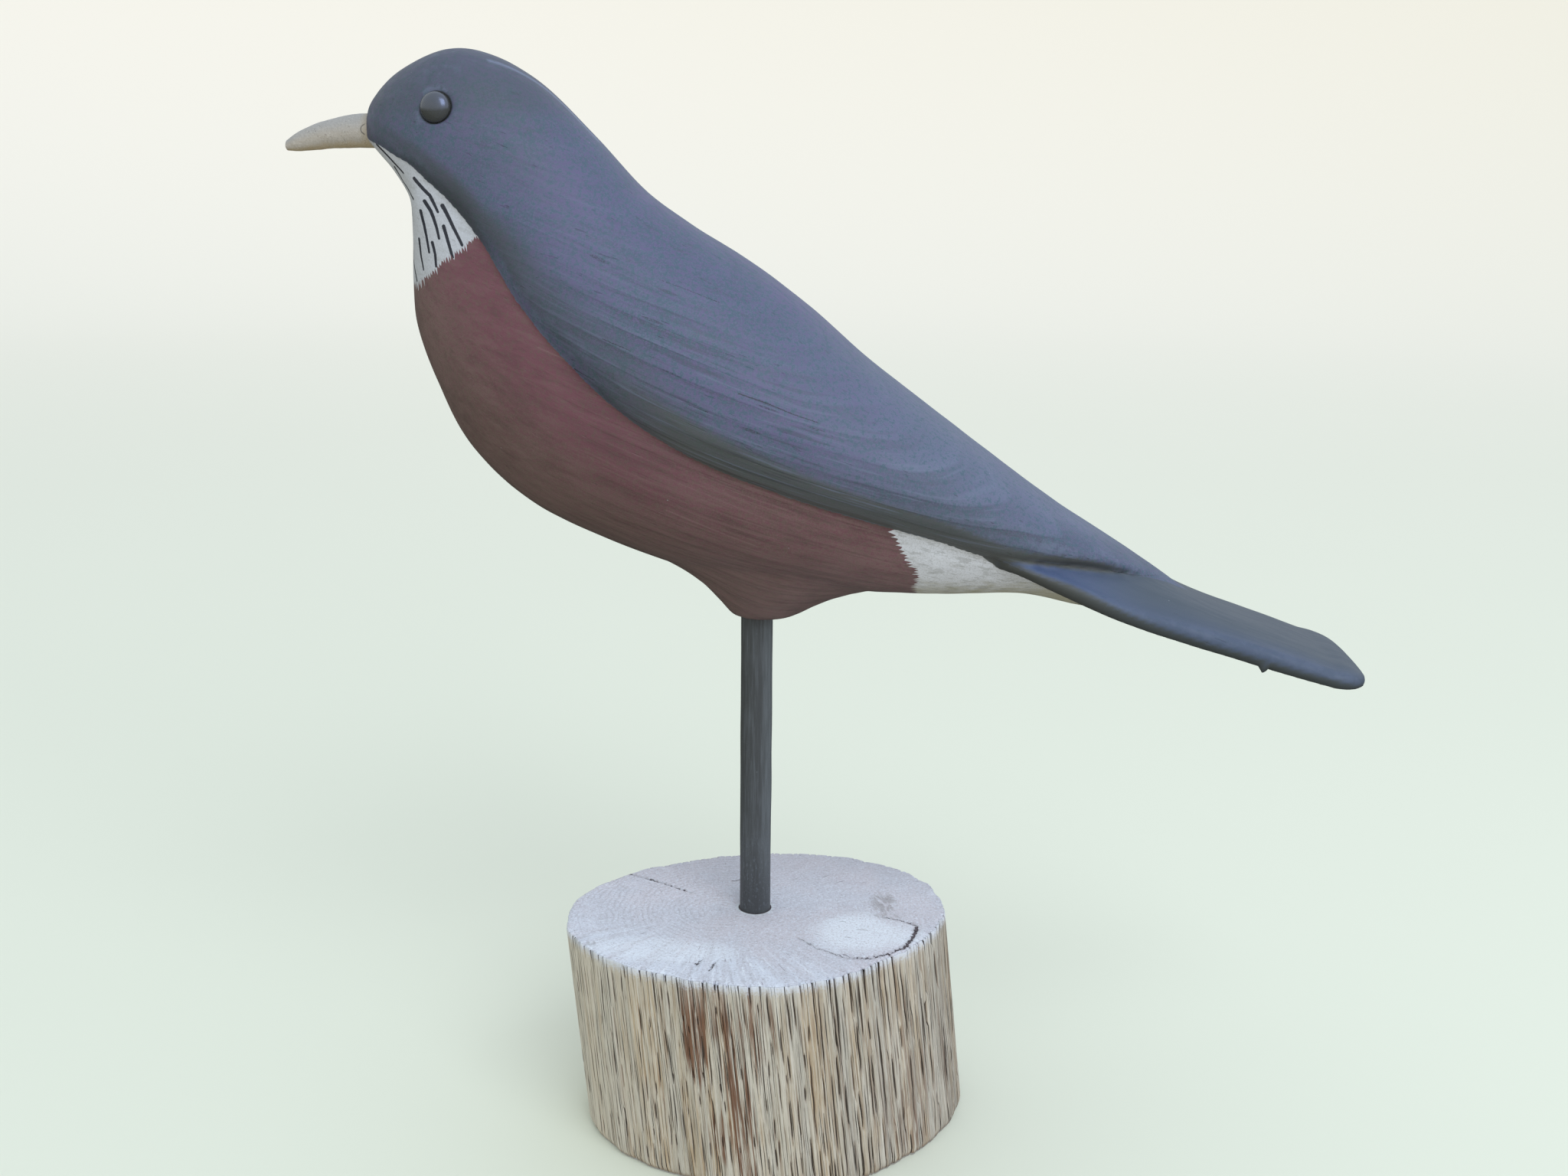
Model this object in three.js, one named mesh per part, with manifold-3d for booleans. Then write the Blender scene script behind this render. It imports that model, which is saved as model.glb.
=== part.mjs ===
// Robin carving: a painted wooden robin held up by a dowel in a slice of weathered log.
// Millimetres, +Z up. The origin is on the log's underside, on the axis of the dowel.
// The bird looks along -X and its tail points along +X. Left and right mirror each other across Y = 0.
import * as THREE from 'three';
import { mergeVertices } from 'three/addons/utils/BufferGeometryUtils.js';
import Module from 'manifold-3d';

// Fits
const FIT_GAP = 0.3;
const DOWEL_RADIUS = 6.35 / 2;
const DOWEL_SIDES = 28;
const DOWEL_IN_LOG = 24;
const DOWEL_IN_BODY = 22;

// Slice of log
const LOG_HEIGHT = 46.8;
const LOG_RADIUS = 33.8;
const LOG_FLARE = 1;
const LOG_CENTRE_TOP = [1.0, -2.4];
const LOG_CENTRE_BOTTOM = [5.4, 1.5];
const LOG_LOBES = [
  { waves: 2, size: 4.4, turn: 0.47 },
  { waves: 3, size: 1.0, turn: 2.4 },
  { waves: 4, size: 0.8, turn: 0.75 },
];
const LOG_RIDGES = [
  { waves: 13, size: 0.26, turn: 0.4, drift: 0.5 },
  { waves: 21, size: 0.24, turn: 2.6, drift: -0.6 },
  { waves: 34, size: 0.2, turn: 1.2, drift: 0.9 },
];
const LOG_RIM_BEVEL = 0.5;
const LOG_COLUMNS = 88;
const LOG_LEVELS = 6;

// Carved body: stations from the root of the bill to the tips of the wings.
// back and belly are [x, z] on the middle plane, and half is half the width there.
// top is the squareness of the section above the wing's widest line: 2 is an ellipse.
const BODY_STATIONS = {
  billRoot: { back: [-72.6, 202.4], belly: [-72.2, 199.2], half: 2.4, top: 2.0 },
  lores: { back: [-71.0, 206.4], belly: [-69.4, 196.2], half: 6.4, top: 2.1 },
  forehead: { back: [-65.6, 211.5], belly: [-66.2, 192.6], half: 10.6, top: 2.3 },
  crown: { back: [-57.0, 215.3], belly: [-63.4, 187.2], half: 14.2, top: 2.4 },
  hindCrown: { back: [-49.0, 214.4], belly: [-63.7, 180.6], half: 15.8, top: 2.4 },
  nape: { back: [-40.0, 209.4], belly: [-64.5, 173.0], half: 16.8, top: 2.3 },
  hindNeck: { back: [-30.0, 199.8], belly: [-64.2, 165.4], half: 19.0, top: 2.2 },
  mantle: { back: [-21.5, 190.8], belly: [-60.8, 155.0], half: 22.0, top: 2.15 },
  shoulder: { back: [-12.5, 184.5], belly: [-54.8, 143.0], half: 24.8, top: 2.15 },
  fore: { back: [-1.8, 178.1], belly: [-43.8, 132.6], half: 26.4, top: 2.15 },
  middle: { back: [9.8, 169.6], belly: [-28.6, 125.2], half: 26.8, top: 2.15 },
  flank: { back: [21.5, 159.7], belly: [-12.6, 119.7], half: 25.8, top: 2.15 },
  rump: { back: [33.4, 150.7], belly: [3.2, 117.6], half: 23.8, top: 2.15 },
  vent: { back: [45.3, 142.0], belly: [19.0, 116.8], half: 20.8, top: 2.15 },
  coverts: { back: [57.5, 133.3], belly: [35.0, 116.0], half: 17.4, top: 2.15 },
  wingTip: { back: [69.7, 125.6], belly: [50.0, 115.9], half: 12.0, top: 2.2 },
  wingPoint: { back: [77.6, 120.7], belly: [62.5, 113.3], half: 5.8, top: 2.0 },
  end: { back: [84.5, 115.9], belly: [74.5, 111.2], half: 2.2, top: 2.0 },
};

// Edge of the wing at the same stations. edge is its share of the way from back to belly.
// step is how far the wing stands out over the belly, and roll the height of its rounded underside.
const WING_STATIONS = {
  billRoot: { edge: 0.9, step: 0.05, roll: 0.2 },
  lores: { edge: 0.84, step: 0.3, roll: 0.6 },
  forehead: { edge: 0.8, step: 0.7, roll: 1.4 },
  crown: { edge: 0.735, step: 1.1, roll: 2.2 },
  hindCrown: { edge: 0.68, step: 1.4, roll: 2.8 },
  nape: { edge: 0.61, step: 1.7, roll: 3.4 },
  hindNeck: { edge: 0.555, step: 2.0, roll: 4.0 },
  mantle: { edge: 0.52, step: 2.4, roll: 4.6 },
  shoulder: { edge: 0.505, step: 2.7, roll: 5.2 },
  fore: { edge: 0.525, step: 2.9, roll: 5.6 },
  middle: { edge: 0.53, step: 2.9, roll: 5.6 },
  flank: { edge: 0.515, step: 2.8, roll: 5.4 },
  rump: { edge: 0.5, step: 2.6, roll: 4.8 },
  vent: { edge: 0.47, step: 2.5, roll: 4.0 },
  coverts: { edge: 0.44, step: 2.7, roll: 3.0 },
  wingTip: { edge: 0.22, step: 3.0, roll: 1.8 },
  wingPoint: { edge: 0.16, step: 1.8, roll: 0.8 },
  end: { edge: 0.3, step: 0.3, roll: 0.4 },
};
const RINGS_PER_STATION = 3;
const BELLY_SQUARENESS = 2.1;
const BACK_POINTS = 10;
const ROLL_POINTS = 3;
const BELLY_POINTS = 9;

// Tail: a flat paddle let into the rear of the body. rim is the height of the middle of its edge.
const TAIL_STATIONS = {
  root: { x: 30, rim: 127.0, half: 8.0, thick: 3.4, crown: 1.0 },
  covered: { x: 38, rim: 127.0, half: 12.0, thick: 3.6, crown: 1.4 },
  sideOut: { x: 47, rim: 124.9, half: 16.0, thick: 2.6, crown: 1.8 },
  fore: { x: 57, rim: 120.8, half: 16.8, thick: 3.4, crown: 2.2 },
  middle: { x: 70, rim: 115.5, half: 16.8, thick: 4.0, crown: 2.4 },
  rear: { x: 86, rim: 110.7, half: 16.8, thick: 4.4, crown: 2.6 },
  hind: { x: 102, rim: 105.9, half: 16.6, thick: 4.0, crown: 1.6 },
  corner: { x: 109.4, rim: 103.6, half: 16.2, thick: 3.5, crown: 1.4 },
};
const TAIL_END_LENGTH = 6.5;
const TAIL_END_ROUNDING = 0.9;
const TAIL_END_SQUARENESS = 2.4;
const TAIL_END_THINNING = 0.65;
const TAIL_END_THINNING_POWER = 3;
const TAIL_UNDER_CROWN = 0.5;
const TAIL_RINGS_PER_STATION = 2;
const TAIL_END_RINGS = 5;
const TAIL_RIM_POINTS = 5;
const TAIL_FACE_POINTS = 7;

// Boss under the belly that takes the dowel: its flat foot flares out until it meets the belly
const BOSS_CENTRE_X = 1.4;
const BOSS_BOTTOM = 110.3;
const BOSS_FOOT_RADIUS = 6.0;
const BOSS_NARROWING = 0.6;
const BOSS_FLARE = 7;
const BOSS_FLARE_LEAN = 1.6;
const BOSS_FLARE_POWER = 1.3;
const BOSS_REACH = 24;
const BOSS_REACH_POWER = 6;
const BOSS_CORE_RADIUS = 5;
const BOSS_ROOTING = 0.45;
const BOSS_ROOTING_POWER = 3;
const BOSS_ROOT_HEIGHT = 128;
const BOSS_SIDES = 30;
const BOSS_STEPS = 9;

// Bill: centre [x, z], half height and half width at each station, from inside the head to the tip
const BILL_STATIONS = {
  socket: { centre: [-64, 200.9], tall: 3.0, wide: 2.9 },
  root: { centre: [-72.5, 200.9], tall: 3.1, wide: 3.1 },
  fore: { centre: [-77.5, 200.5], tall: 2.8, wide: 2.8 },
  middle: { centre: [-82.0, 199.7], tall: 2.2, wide: 2.3 },
  near: { centre: [-85.6, 198.7], tall: 1.55, wide: 1.7 },
  tip: { centre: [-87.8, 197.9], tall: 0.75, wide: 0.8 },
};
const BILL_SIDES = 18;
const BILL_RINGS_PER_STATION = 2;

// Eyes: domed heads on short shanks
const EYE_CENTRE = [-56.6, 13.6, 204.8];
const EYE_RADIUS = 2.6;
const EYE_DOME_HEIGHT = 1.9;
const EYE_RIM_HEIGHT = 0.5;
const EYE_SEAT_DEPTH = 0.9;
const EYE_SHANK_RADIUS = 1.0;
const EYE_SHANK_LENGTH = 4;
const EYE_SIDES = 18;
const EYE_DOME_STEPS = 4;
const EYE_FORWARD_TURN = 12;
const EYE_UPWARD_TURN = 8;

const wasm = await Module();
wasm.setup();

const MERGE_DISTANCE = 1e-4;
const CIRCLE = 2;
const HALF_TURN = Math.PI;
const FULL_TURN = 2 * Math.PI;

// Value of every property of the stations at share t of the way along them, on smooth curves.
function alongStations(stations, t) {
  const list = Object.values(stations);
  const out = {};
  for (const name of Object.keys(list[0])) {
    const flat = list.map((station) => [station[name]].flat());
    const points = flat.map((v) => new THREE.Vector3(v[0], v[1] ?? 0, 0));
    const curve = new THREE.CatmullRomCurve3(points, false, 'catmullrom', 0.5);
    const point = curve.getPoint(t);
    out[name] = flat[0].length > 1 ? [point.x, point.y] : point.x;
  }
  return out;
}

// Closed mesh through rings of the same number of points, with a fan over each end.
function loft(rings) {
  const count = rings[0].length;
  const positions = [];
  const faces = [];
  for (const ring of rings) {
    for (const point of ring) positions.push(point.x, point.y, point.z);
  }
  for (let r = 0; r + 1 < rings.length; r += 1) {
    for (let i = 0; i < count; i += 1) {
      const next = (i + 1) % count;
      const a = r * count + i;
      const b = r * count + next;
      faces.push(a, b, b + count, a, b + count, a + count);
    }
  }
  for (const end of [0, rings.length - 1]) {
    const centre = new THREE.Vector3();
    for (const point of rings[end]) centre.addScaledVector(point, 1 / count);
    const hub = positions.length / 3;
    positions.push(centre.x, centre.y, centre.z);
    for (let i = 0; i < count; i += 1) {
      const a = end * count + i;
      const b = end * count + ((i + 1) % count);
      faces.push(...(end === 0 ? [hub, b, a] : [hub, a, b]));
    }
  }
  const geometry = new THREE.BufferGeometry();
  geometry.setAttribute('position', new THREE.Float32BufferAttribute(positions, 3));
  geometry.setIndex(facesOut(positions, faces) ? faces : faces.reverse());
  geometry.computeVertexNormals();
  return geometry;
}

// Whether the faces of a closed mesh point out: the volume they enclose is then above zero.
function facesOut(positions, faces) {
  let volume = 0;
  for (let i = 0; i < faces.length; i += 3) {
    const [a, b, c] = [0, 1, 2].map((k) => new THREE.Vector3().fromArray(positions, 3 * faces[i + k]));
    volume += a.dot(b.cross(c));
  }
  return volume > 0;
}

// Solid for joins and cuts.
function solidOf(geometry) {
  const bare = geometry.clone();
  bare.deleteAttribute('normal');
  bare.deleteAttribute('uv');
  const merged = mergeVertices(bare, MERGE_DISTANCE);
  const vertProperties = Float32Array.from(merged.getAttribute('position').array);
  const triVerts = Uint32Array.from(merged.index.array);
  return new wasm.Manifold(new wasm.Mesh({ numProp: 3, vertProperties, triVerts }));
}

function geometryOf(solid) {
  const mesh = solid.getMesh();
  const geometry = new THREE.BufferGeometry();
  geometry.setAttribute('position', new THREE.BufferAttribute(mesh.vertProperties, 3));
  geometry.setIndex(new THREE.BufferAttribute(mesh.triVerts, 1));
  geometry.computeVertexNormals();
  return geometry;
}

function rodGeometry(radius, low, high, sides) {
  const profile = [[0, low], [radius, low], [radius, high], [0, high]];
  return latheGeometry(profile, sides);
}

// Turned shape about the Z axis from a profile of [radius, height].
function latheGeometry(profile, sides) {
  const points = profile.map(([r, z]) => new THREE.Vector2(r, z));
  return new THREE.LatheGeometry(points, sides).rotateX(HALF_TURN / 2);
}

// Quarter of a superellipse: share 0 gives [1, 0], share 1 gives [0, 1].
function quarter(share, squareness) {
  const angle = share * HALF_TURN / 2;
  return [Math.cos(angle) ** (2 / squareness), Math.sin(angle) ** (2 / squareness)];
}

// One side of a ring of the body, from back to belly, as [share of the way down, half width].
function halfRing({ half, edge, step, roll, top }, depth) {
  const widest = edge - roll / depth;
  const side = [];
  for (let i = 0; i <= BACK_POINTS; i += 1) {
    const [along, out] = quarter(i / BACK_POINTS, top);
    side.push([widest * (1 - along), half * out]);
  }
  for (let i = 1; i <= ROLL_POINTS; i += 1) {
    const [out, down] = quarter(i / ROLL_POINTS, CIRCLE);
    side.push([widest + (edge - widest) * down, half - step * (1 - out)]);
  }
  for (let i = 1; i <= BELLY_POINTS; i += 1) {
    const [out, down] = quarter(i / BELLY_POINTS, BELLY_SQUARENESS);
    side.push([edge + (1 - edge) * down, (half - step) * out]);
  }
  return side;
}

function bodyRing(t) {
  const station = { ...alongStations(BODY_STATIONS, t), ...alongStations(WING_STATIONS, t) };
  const back = new THREE.Vector3(station.back[0], 0, station.back[1]);
  const belly = new THREE.Vector3(station.belly[0], 0, station.belly[1]);
  const depth = back.distanceTo(belly);
  const near = halfRing(station, depth).map(([down, out]) => {
    const point = back.clone().lerp(belly, down);
    point.y = -out;
    return point;
  });
  const far = near.slice(1, -1).reverse().map((point) => new THREE.Vector3(point.x, -point.y, point.z));
  near[0].y = 0;
  near[near.length - 1].y = 0;
  return [...near, ...far];
}

function bodyLoft() {
  const spans = Object.keys(BODY_STATIONS).length - 1;
  const count = spans * RINGS_PER_STATION;
  const rings = [];
  for (let i = 0; i <= count; i += 1) rings.push(bodyRing(i / count));
  return loft(rings);
}

// Ring of the tail: crowned top, rounded rims and a nearly flat underside.
function tailRing({ x, rim, half, thick, crown }) {
  const round = Math.min(thick / 2, half);
  const flat = half - round;
  const ring = [];
  for (let i = 0; i < TAIL_FACE_POINTS; i += 1) {
    const across = -1 + (2 * i) / TAIL_FACE_POINTS;
    ring.push(new THREE.Vector3(x, flat * across, rim + round + crown * (1 - across ** 2)));
  }
  for (let i = 0; i < TAIL_RIM_POINTS; i += 1) {
    const angle = (HALF_TURN * i) / TAIL_RIM_POINTS;
    ring.push(new THREE.Vector3(x, flat + round * Math.sin(angle), rim + round * Math.cos(angle)));
  }
  for (let i = 0; i < TAIL_FACE_POINTS; i += 1) {
    const across = 1 - (2 * i) / TAIL_FACE_POINTS;
    ring.push(new THREE.Vector3(x, flat * across, rim - round - TAIL_UNDER_CROWN * (1 - across ** 2)));
  }
  for (let i = 0; i < TAIL_RIM_POINTS; i += 1) {
    const angle = (HALF_TURN * i) / TAIL_RIM_POINTS;
    ring.push(new THREE.Vector3(x, -flat - round * Math.sin(angle), rim - round * Math.cos(angle)));
  }
  return ring;
}

function tailLoft() {
  const spans = Object.keys(TAIL_STATIONS).length - 1;
  const count = spans * TAIL_RINGS_PER_STATION;
  const rings = [];
  for (let i = 0; i <= count; i += 1) {
    rings.push(tailRing(alongStations(TAIL_STATIONS, i / count)));
  }
  const { x, rim, half, thick, crown } = TAIL_STATIONS.corner;
  const slope = (rim - TAIL_STATIONS.hind.rim) / (x - TAIL_STATIONS.hind.x);
  for (let i = 1; i <= TAIL_END_RINGS; i += 1) {
    const [along, out] = quarter(i / TAIL_END_RINGS, TAIL_END_SQUARENESS);
    const reach = TAIL_END_LENGTH * out;
    const narrow = TAIL_END_LENGTH * TAIL_END_ROUNDING * (1 - along);
    const thinning = TAIL_END_THINNING * out ** TAIL_END_THINNING_POWER;
    rings.push(tailRing({
      x: x + reach,
      rim: rim + slope * reach,
      half: half - narrow,
      thick: thick * (1 - thinning),
      crown: crown * along,
    }));
  }
  return loft(rings);
}

// How much of the way from the belly down to the foot the boss reaches, at a distance from its middle.
function bossShare(radius, angle) {
  if (radius <= BOSS_FOOT_RADIUS) return 1;
  const length = BOSS_FLARE + BOSS_FLARE_LEAN * Math.cos(angle);
  const flare = Math.exp(-(((radius - BOSS_FOOT_RADIUS) / length) ** BOSS_FLARE_POWER));
  return flare * (1 - (radius / BOSS_REACH) ** BOSS_REACH_POWER);
}

// The boss's underside follows the belly above it, found by looking up at the body from below.
function bossGeometry(bodyShape) {
  const body = new THREE.Mesh(bodyShape, new THREE.MeshBasicMaterial({ side: THREE.DoubleSide }));
  const upward = new THREE.Vector3(0, 0, 1);
  const rings = [];
  for (let i = 0; i <= BOSS_STEPS; i += 1) {
    const radius = THREE.MathUtils.lerp(BOSS_CORE_RADIUS, BOSS_REACH, i / BOSS_STEPS);
    const narrow = THREE.MathUtils.lerp(1, BOSS_NARROWING, Math.max(0, i - 1) / (BOSS_STEPS - 1));
    const ring = [];
    for (let k = 0; k < BOSS_SIDES; k += 1) {
      const angle = (FULL_TURN * k) / BOSS_SIDES;
      const x = BOSS_CENTRE_X + radius * Math.cos(angle);
      const y = narrow * radius * Math.sin(angle);
      const [hit] = new THREE.Raycaster(new THREE.Vector3(x, y, 0), upward).intersectObject(body);
      const belly = hit.point.z + BOSS_ROOTING * (radius / BOSS_REACH) ** BOSS_ROOTING_POWER;
      const z = THREE.MathUtils.lerp(belly, BOSS_BOTTOM, bossShare(radius, angle));
      ring.push(new THREE.Vector3(x, y, z));
    }
    rings.push(ring);
  }
  rings.push(rings[0].map((point) => new THREE.Vector3(point.x, point.y, BOSS_ROOT_HEIGHT)));
  return loft(rings);
}

function billLoft(grow) {
  const spans = Object.keys(BILL_STATIONS).length - 1;
  const count = spans * BILL_RINGS_PER_STATION;
  const rings = [];
  for (let i = 0; i <= count; i += 1) {
    const at = alongStations(BILL_STATIONS, i / count);
    const ring = [];
    for (let k = 0; k < BILL_SIDES; k += 1) {
      const angle = (FULL_TURN * k) / BILL_SIDES;
      const y = (at.wide + grow) * Math.cos(angle);
      const z = at.centre[1] + (at.tall + grow) * Math.sin(angle);
      ring.push(new THREE.Vector3(at.centre[0] + (i === 0 ? grow : 0), y, z));
    }
    rings.push(ring);
  }
  return loft(rings);
}

// Eye about its own Z axis, which points out of the head; the head's surface is at height 0.
function eyeGeometry(grow) {
  const radius = EYE_RADIUS + grow;
  const shank = EYE_SHANK_RADIUS + grow;
  const profile = [[0, -EYE_SHANK_LENGTH - grow], [shank, -EYE_SHANK_LENGTH - grow]];
  profile.push([shank, -EYE_SEAT_DEPTH - grow], [radius, -EYE_SEAT_DEPTH - grow], [radius, EYE_RIM_HEIGHT]);
  for (let i = 1; i < EYE_DOME_STEPS; i += 1) {
    const [out, up] = quarter(i / EYE_DOME_STEPS, CIRCLE);
    profile.push([radius * out, EYE_RIM_HEIGHT + (EYE_DOME_HEIGHT - EYE_RIM_HEIGHT + grow) * up]);
  }
  profile.push([0, EYE_DOME_HEIGHT + grow]);
  return latheGeometry(profile, EYE_SIDES);
}

// Place of an eye on one side of the head: side is 1 for +Y and -1 for -Y.
function eyePlace(side) {
  const forward = THREE.MathUtils.degToRad(EYE_FORWARD_TURN);
  const upward = THREE.MathUtils.degToRad(EYE_UPWARD_TURN);
  const out = new THREE.Vector3(-Math.sin(forward), side * Math.cos(forward), Math.sin(upward)).normalize();
  const position = new THREE.Vector3(EYE_CENTRE[0], side * EYE_CENTRE[1], EYE_CENTRE[2]);
  const turn = new THREE.Quaternion().setFromUnitVectors(new THREE.Vector3(0, 0, 1), out);
  return { position, turn };
}

function placed(geometry, { position, turn }) {
  return geometry.clone().applyQuaternion(turn).translate(position.x, position.y, position.z);
}

function logRadius(angle, level) {
  let radius = LOG_RADIUS + LOG_FLARE * (1 - level);
  for (const { waves, size, turn } of LOG_LOBES) radius += size * Math.cos(waves * angle - turn);
  for (const { waves, size, turn, drift } of LOG_RIDGES) {
    radius += size * Math.cos(waves * angle - turn - drift * level);
  }
  return radius;
}

function logLoft() {
  const levels = [{ z: 0, inset: LOG_RIM_BEVEL }];
  for (let i = 0; i <= LOG_LEVELS; i += 1) {
    levels.push({ z: LOG_RIM_BEVEL + ((LOG_HEIGHT - 2 * LOG_RIM_BEVEL) * i) / LOG_LEVELS, inset: 0 });
  }
  levels.push({ z: LOG_HEIGHT, inset: LOG_RIM_BEVEL });
  const rings = levels.map(({ z, inset }) => {
    const level = z / LOG_HEIGHT;
    const x = THREE.MathUtils.lerp(LOG_CENTRE_BOTTOM[0], LOG_CENTRE_TOP[0], level);
    const y = THREE.MathUtils.lerp(LOG_CENTRE_BOTTOM[1], LOG_CENTRE_TOP[1], level);
    const ring = [];
    for (let k = 0; k < LOG_COLUMNS; k += 1) {
      const angle = (FULL_TURN * k) / LOG_COLUMNS;
      const radius = logRadius(angle, level) - inset;
      ring.push(new THREE.Vector3(x + radius * Math.cos(angle), y + radius * Math.sin(angle), z));
    }
    return ring;
  });
  return loft(rings);
}

function named(name, geometry, color, roughness) {
  const material = new THREE.MeshStandardMaterial({ color, roughness, metalness: 0 });
  const mesh = new THREE.Mesh(geometry, material);
  mesh.name = name;
  return mesh;
}

const robin = new THREE.Group();
robin.name = 'robin_carving';

const dowelLow = LOG_HEIGHT - DOWEL_IN_LOG;
const dowelHigh = BOSS_BOTTOM + DOWEL_IN_BODY;
const holeRadius = DOWEL_RADIUS + FIT_GAP;
const dowelHole = solidOf(rodGeometry(holeRadius, dowelLow - FIT_GAP, dowelHigh + FIT_GAP, DOWEL_SIDES));

// The bird: body, tail and boss are one carved piece, with holes for the dowel, the bill and the eyes.
const trunk = bodyLoft();
let bird = solidOf(trunk).add(solidOf(tailLoft())).add(solidOf(bossGeometry(trunk)));
bird = bird.subtract(dowelHole).subtract(solidOf(billLoft(FIT_GAP)));
for (const side of [-1, 1]) {
  bird = bird.subtract(solidOf(placed(eyeGeometry(FIT_GAP), eyePlace(side))));
}
robin.add(named('body', geometryOf(bird), 0x4a4f66, 0.75));

robin.add(named('bill', billLoft(0), 0x9c917c, 0.7));
for (const [name, side] of [['eye_left', -1], ['eye_right', 1]]) {
  const eye = named(name, eyeGeometry(0), 0x0b0c0f, 0.15);
  const { position, turn } = eyePlace(side);
  eye.position.copy(position);
  eye.quaternion.copy(turn);
  robin.add(eye);
}

robin.add(named('dowel', rodGeometry(DOWEL_RADIUS, dowelLow, dowelHigh, DOWEL_SIDES), 0x23272d, 0.7));

const log = solidOf(logLoft()).subtract(dowelHole);
robin.add(named('log_base', geometryOf(log), 0xa59a8c, 0.9));

export default robin;
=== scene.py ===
"""Looks of a robin carving: a painted wooden robin on a dowel in a slice of weathered log.

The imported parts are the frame: metres, +Z up, the bird looks along -X and its left side is -Y.
Sizes in this file are in millimetres, and a mesh is scaled to metres when it is made.
"""

import logging
import math
from dataclasses import astuple, dataclass, is_dataclass
from enum import Enum
from functools import cache
from typing import Callable, Sequence

import bpy
import numpy as np
from bpy.types import ID, Material, Mesh, Node, NodeSocket, NodeTree, Object
from mathutils import Matrix, Vector
from mathutils.bvhtree import BVHTree


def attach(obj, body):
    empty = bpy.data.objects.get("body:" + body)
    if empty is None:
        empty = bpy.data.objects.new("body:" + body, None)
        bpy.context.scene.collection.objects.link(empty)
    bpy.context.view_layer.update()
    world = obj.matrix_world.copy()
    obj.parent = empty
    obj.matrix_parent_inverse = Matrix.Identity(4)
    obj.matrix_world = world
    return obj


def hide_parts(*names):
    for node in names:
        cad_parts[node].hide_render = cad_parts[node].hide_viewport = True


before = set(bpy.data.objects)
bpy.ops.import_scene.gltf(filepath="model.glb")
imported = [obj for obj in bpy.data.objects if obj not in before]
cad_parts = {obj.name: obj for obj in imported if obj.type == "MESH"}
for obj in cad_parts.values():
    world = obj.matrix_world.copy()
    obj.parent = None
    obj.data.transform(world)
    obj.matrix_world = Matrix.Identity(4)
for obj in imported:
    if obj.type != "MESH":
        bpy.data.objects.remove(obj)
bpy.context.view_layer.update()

log = logging.getLogger("robin_carving")

MM = 0.001
QUARTER_TURN = math.pi / 2
FULL_TURN = 2 * math.pi
CIRCLE = 2
ROOT = "root"

Array = np.ndarray
Rgb = tuple[float, float, float]
Point2 = tuple[float, float]
Point3 = tuple[float, float, float]

EYE_CENTRE: Point3 = (-56.4, 13.6, 204.8)


# Shapes in numbers.


def along_stations(stations: Sequence, steps: int) -> Array:
    """Smooth values from the first station to the last.

    Args:
        stations: Dataclasses of numbers, or rows of numbers.
        steps: Steps from one station to the next.

    Returns:
        One row of values for each step.
    """
    table = np.array([np.hstack(astuple(s) if is_dataclass(s) else s) for s in stations])
    rows = np.vstack([2 * table[0] - table[1], table, 2 * table[-1] - table[-2]])
    spans = len(table) - 1
    at = np.linspace(0, 1, spans * steps + 1) * spans
    first = np.minimum(at.astype(int), spans - 1)
    u = (at - first)[:, None]
    before, here, there, after = (rows[first + k] for k in range(4))
    leaving, arriving = (there - before) / 2, (after - here) / 2
    square = -3 * here + 3 * there - 2 * leaving - arriving
    cube = 2 * here - 2 * there + leaving + arriving
    return here + leaving * u + square * u**2 + cube * u**3


def full_turn(count: int) -> Array:
    """Angles of a full turn in even steps."""
    return FULL_TURN * np.arange(count) / count


def quarter(shares: Array, squareness: Array | float) -> tuple[Array, Array]:
    """Quarter of a superellipse, from (1, 0) at share 0 to (0, 1) at 1; squareness 2 is a circle."""
    angle = shares * QUARTER_TURN
    return np.cos(angle).clip(0) ** (2 / squareness), np.sin(angle).clip(0) ** (2 / squareness)


def read_off(places: Array, line: Sequence[Point2]) -> Array:
    """Values of a line through points at places along it."""
    return np.interp(places, *np.transpose(line))


def rise(low: float, high: float, value: Array) -> Array:
    """0 below low, 1 above high and a smooth rise between them."""
    t = np.clip((value - low) / (high - low), 0, 1)
    return t * t * (3 - 2 * t)


@dataclass(frozen=True)
class SmoothNoise:
    """Noise in space that is the same on every run."""

    seed: int

    def at(self, points: Array, size: float | Sequence[float]) -> Array:
        """Noise at points.

        Args:
            points: One row of three coordinates for each point.
            size: Size of the bumps, the same or one for each axis.

        Returns:
            Values from about -1 to 1.
        """
        cells = points / np.asarray(size, float)
        low = np.floor(cells).astype(np.int64)
        part = cells - low
        fade = part**3 * (part * (part * 6 - 15) + 10)
        total = np.zeros(len(points))
        for corner in np.ndindex(2, 2, 2):
            offset = np.array(corner)
            weight = np.prod(np.where(offset == 1, fade, 1 - fade), axis=1)
            total += weight * np.einsum("ij,ij->i", self._slopes(low + offset), part - offset)
        return total * 1.7

    def _slopes(self, cells: Array) -> Array:
        """A unit vector for each cell, worked out from its whole-number coordinates."""
        mixed = cells @ np.array([73856093, 19349663, 83492791]) + self.seed * 982451653
        mixed = (mixed ^ (mixed >> 15)) * 2246822519 % 2**31
        mixed = (mixed ^ (mixed >> 13)) * 1274126177 % 2**31
        turn = (mixed & 0xFFFF) / 0x10000 * FULL_TURN
        height = (mixed >> 16) / 0x8000 * 2 - 1
        level = np.sqrt(np.clip(1 - height**2, 0, 1))
        return np.stack([level * np.cos(turn), level * np.sin(turn), height], axis=1)


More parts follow.
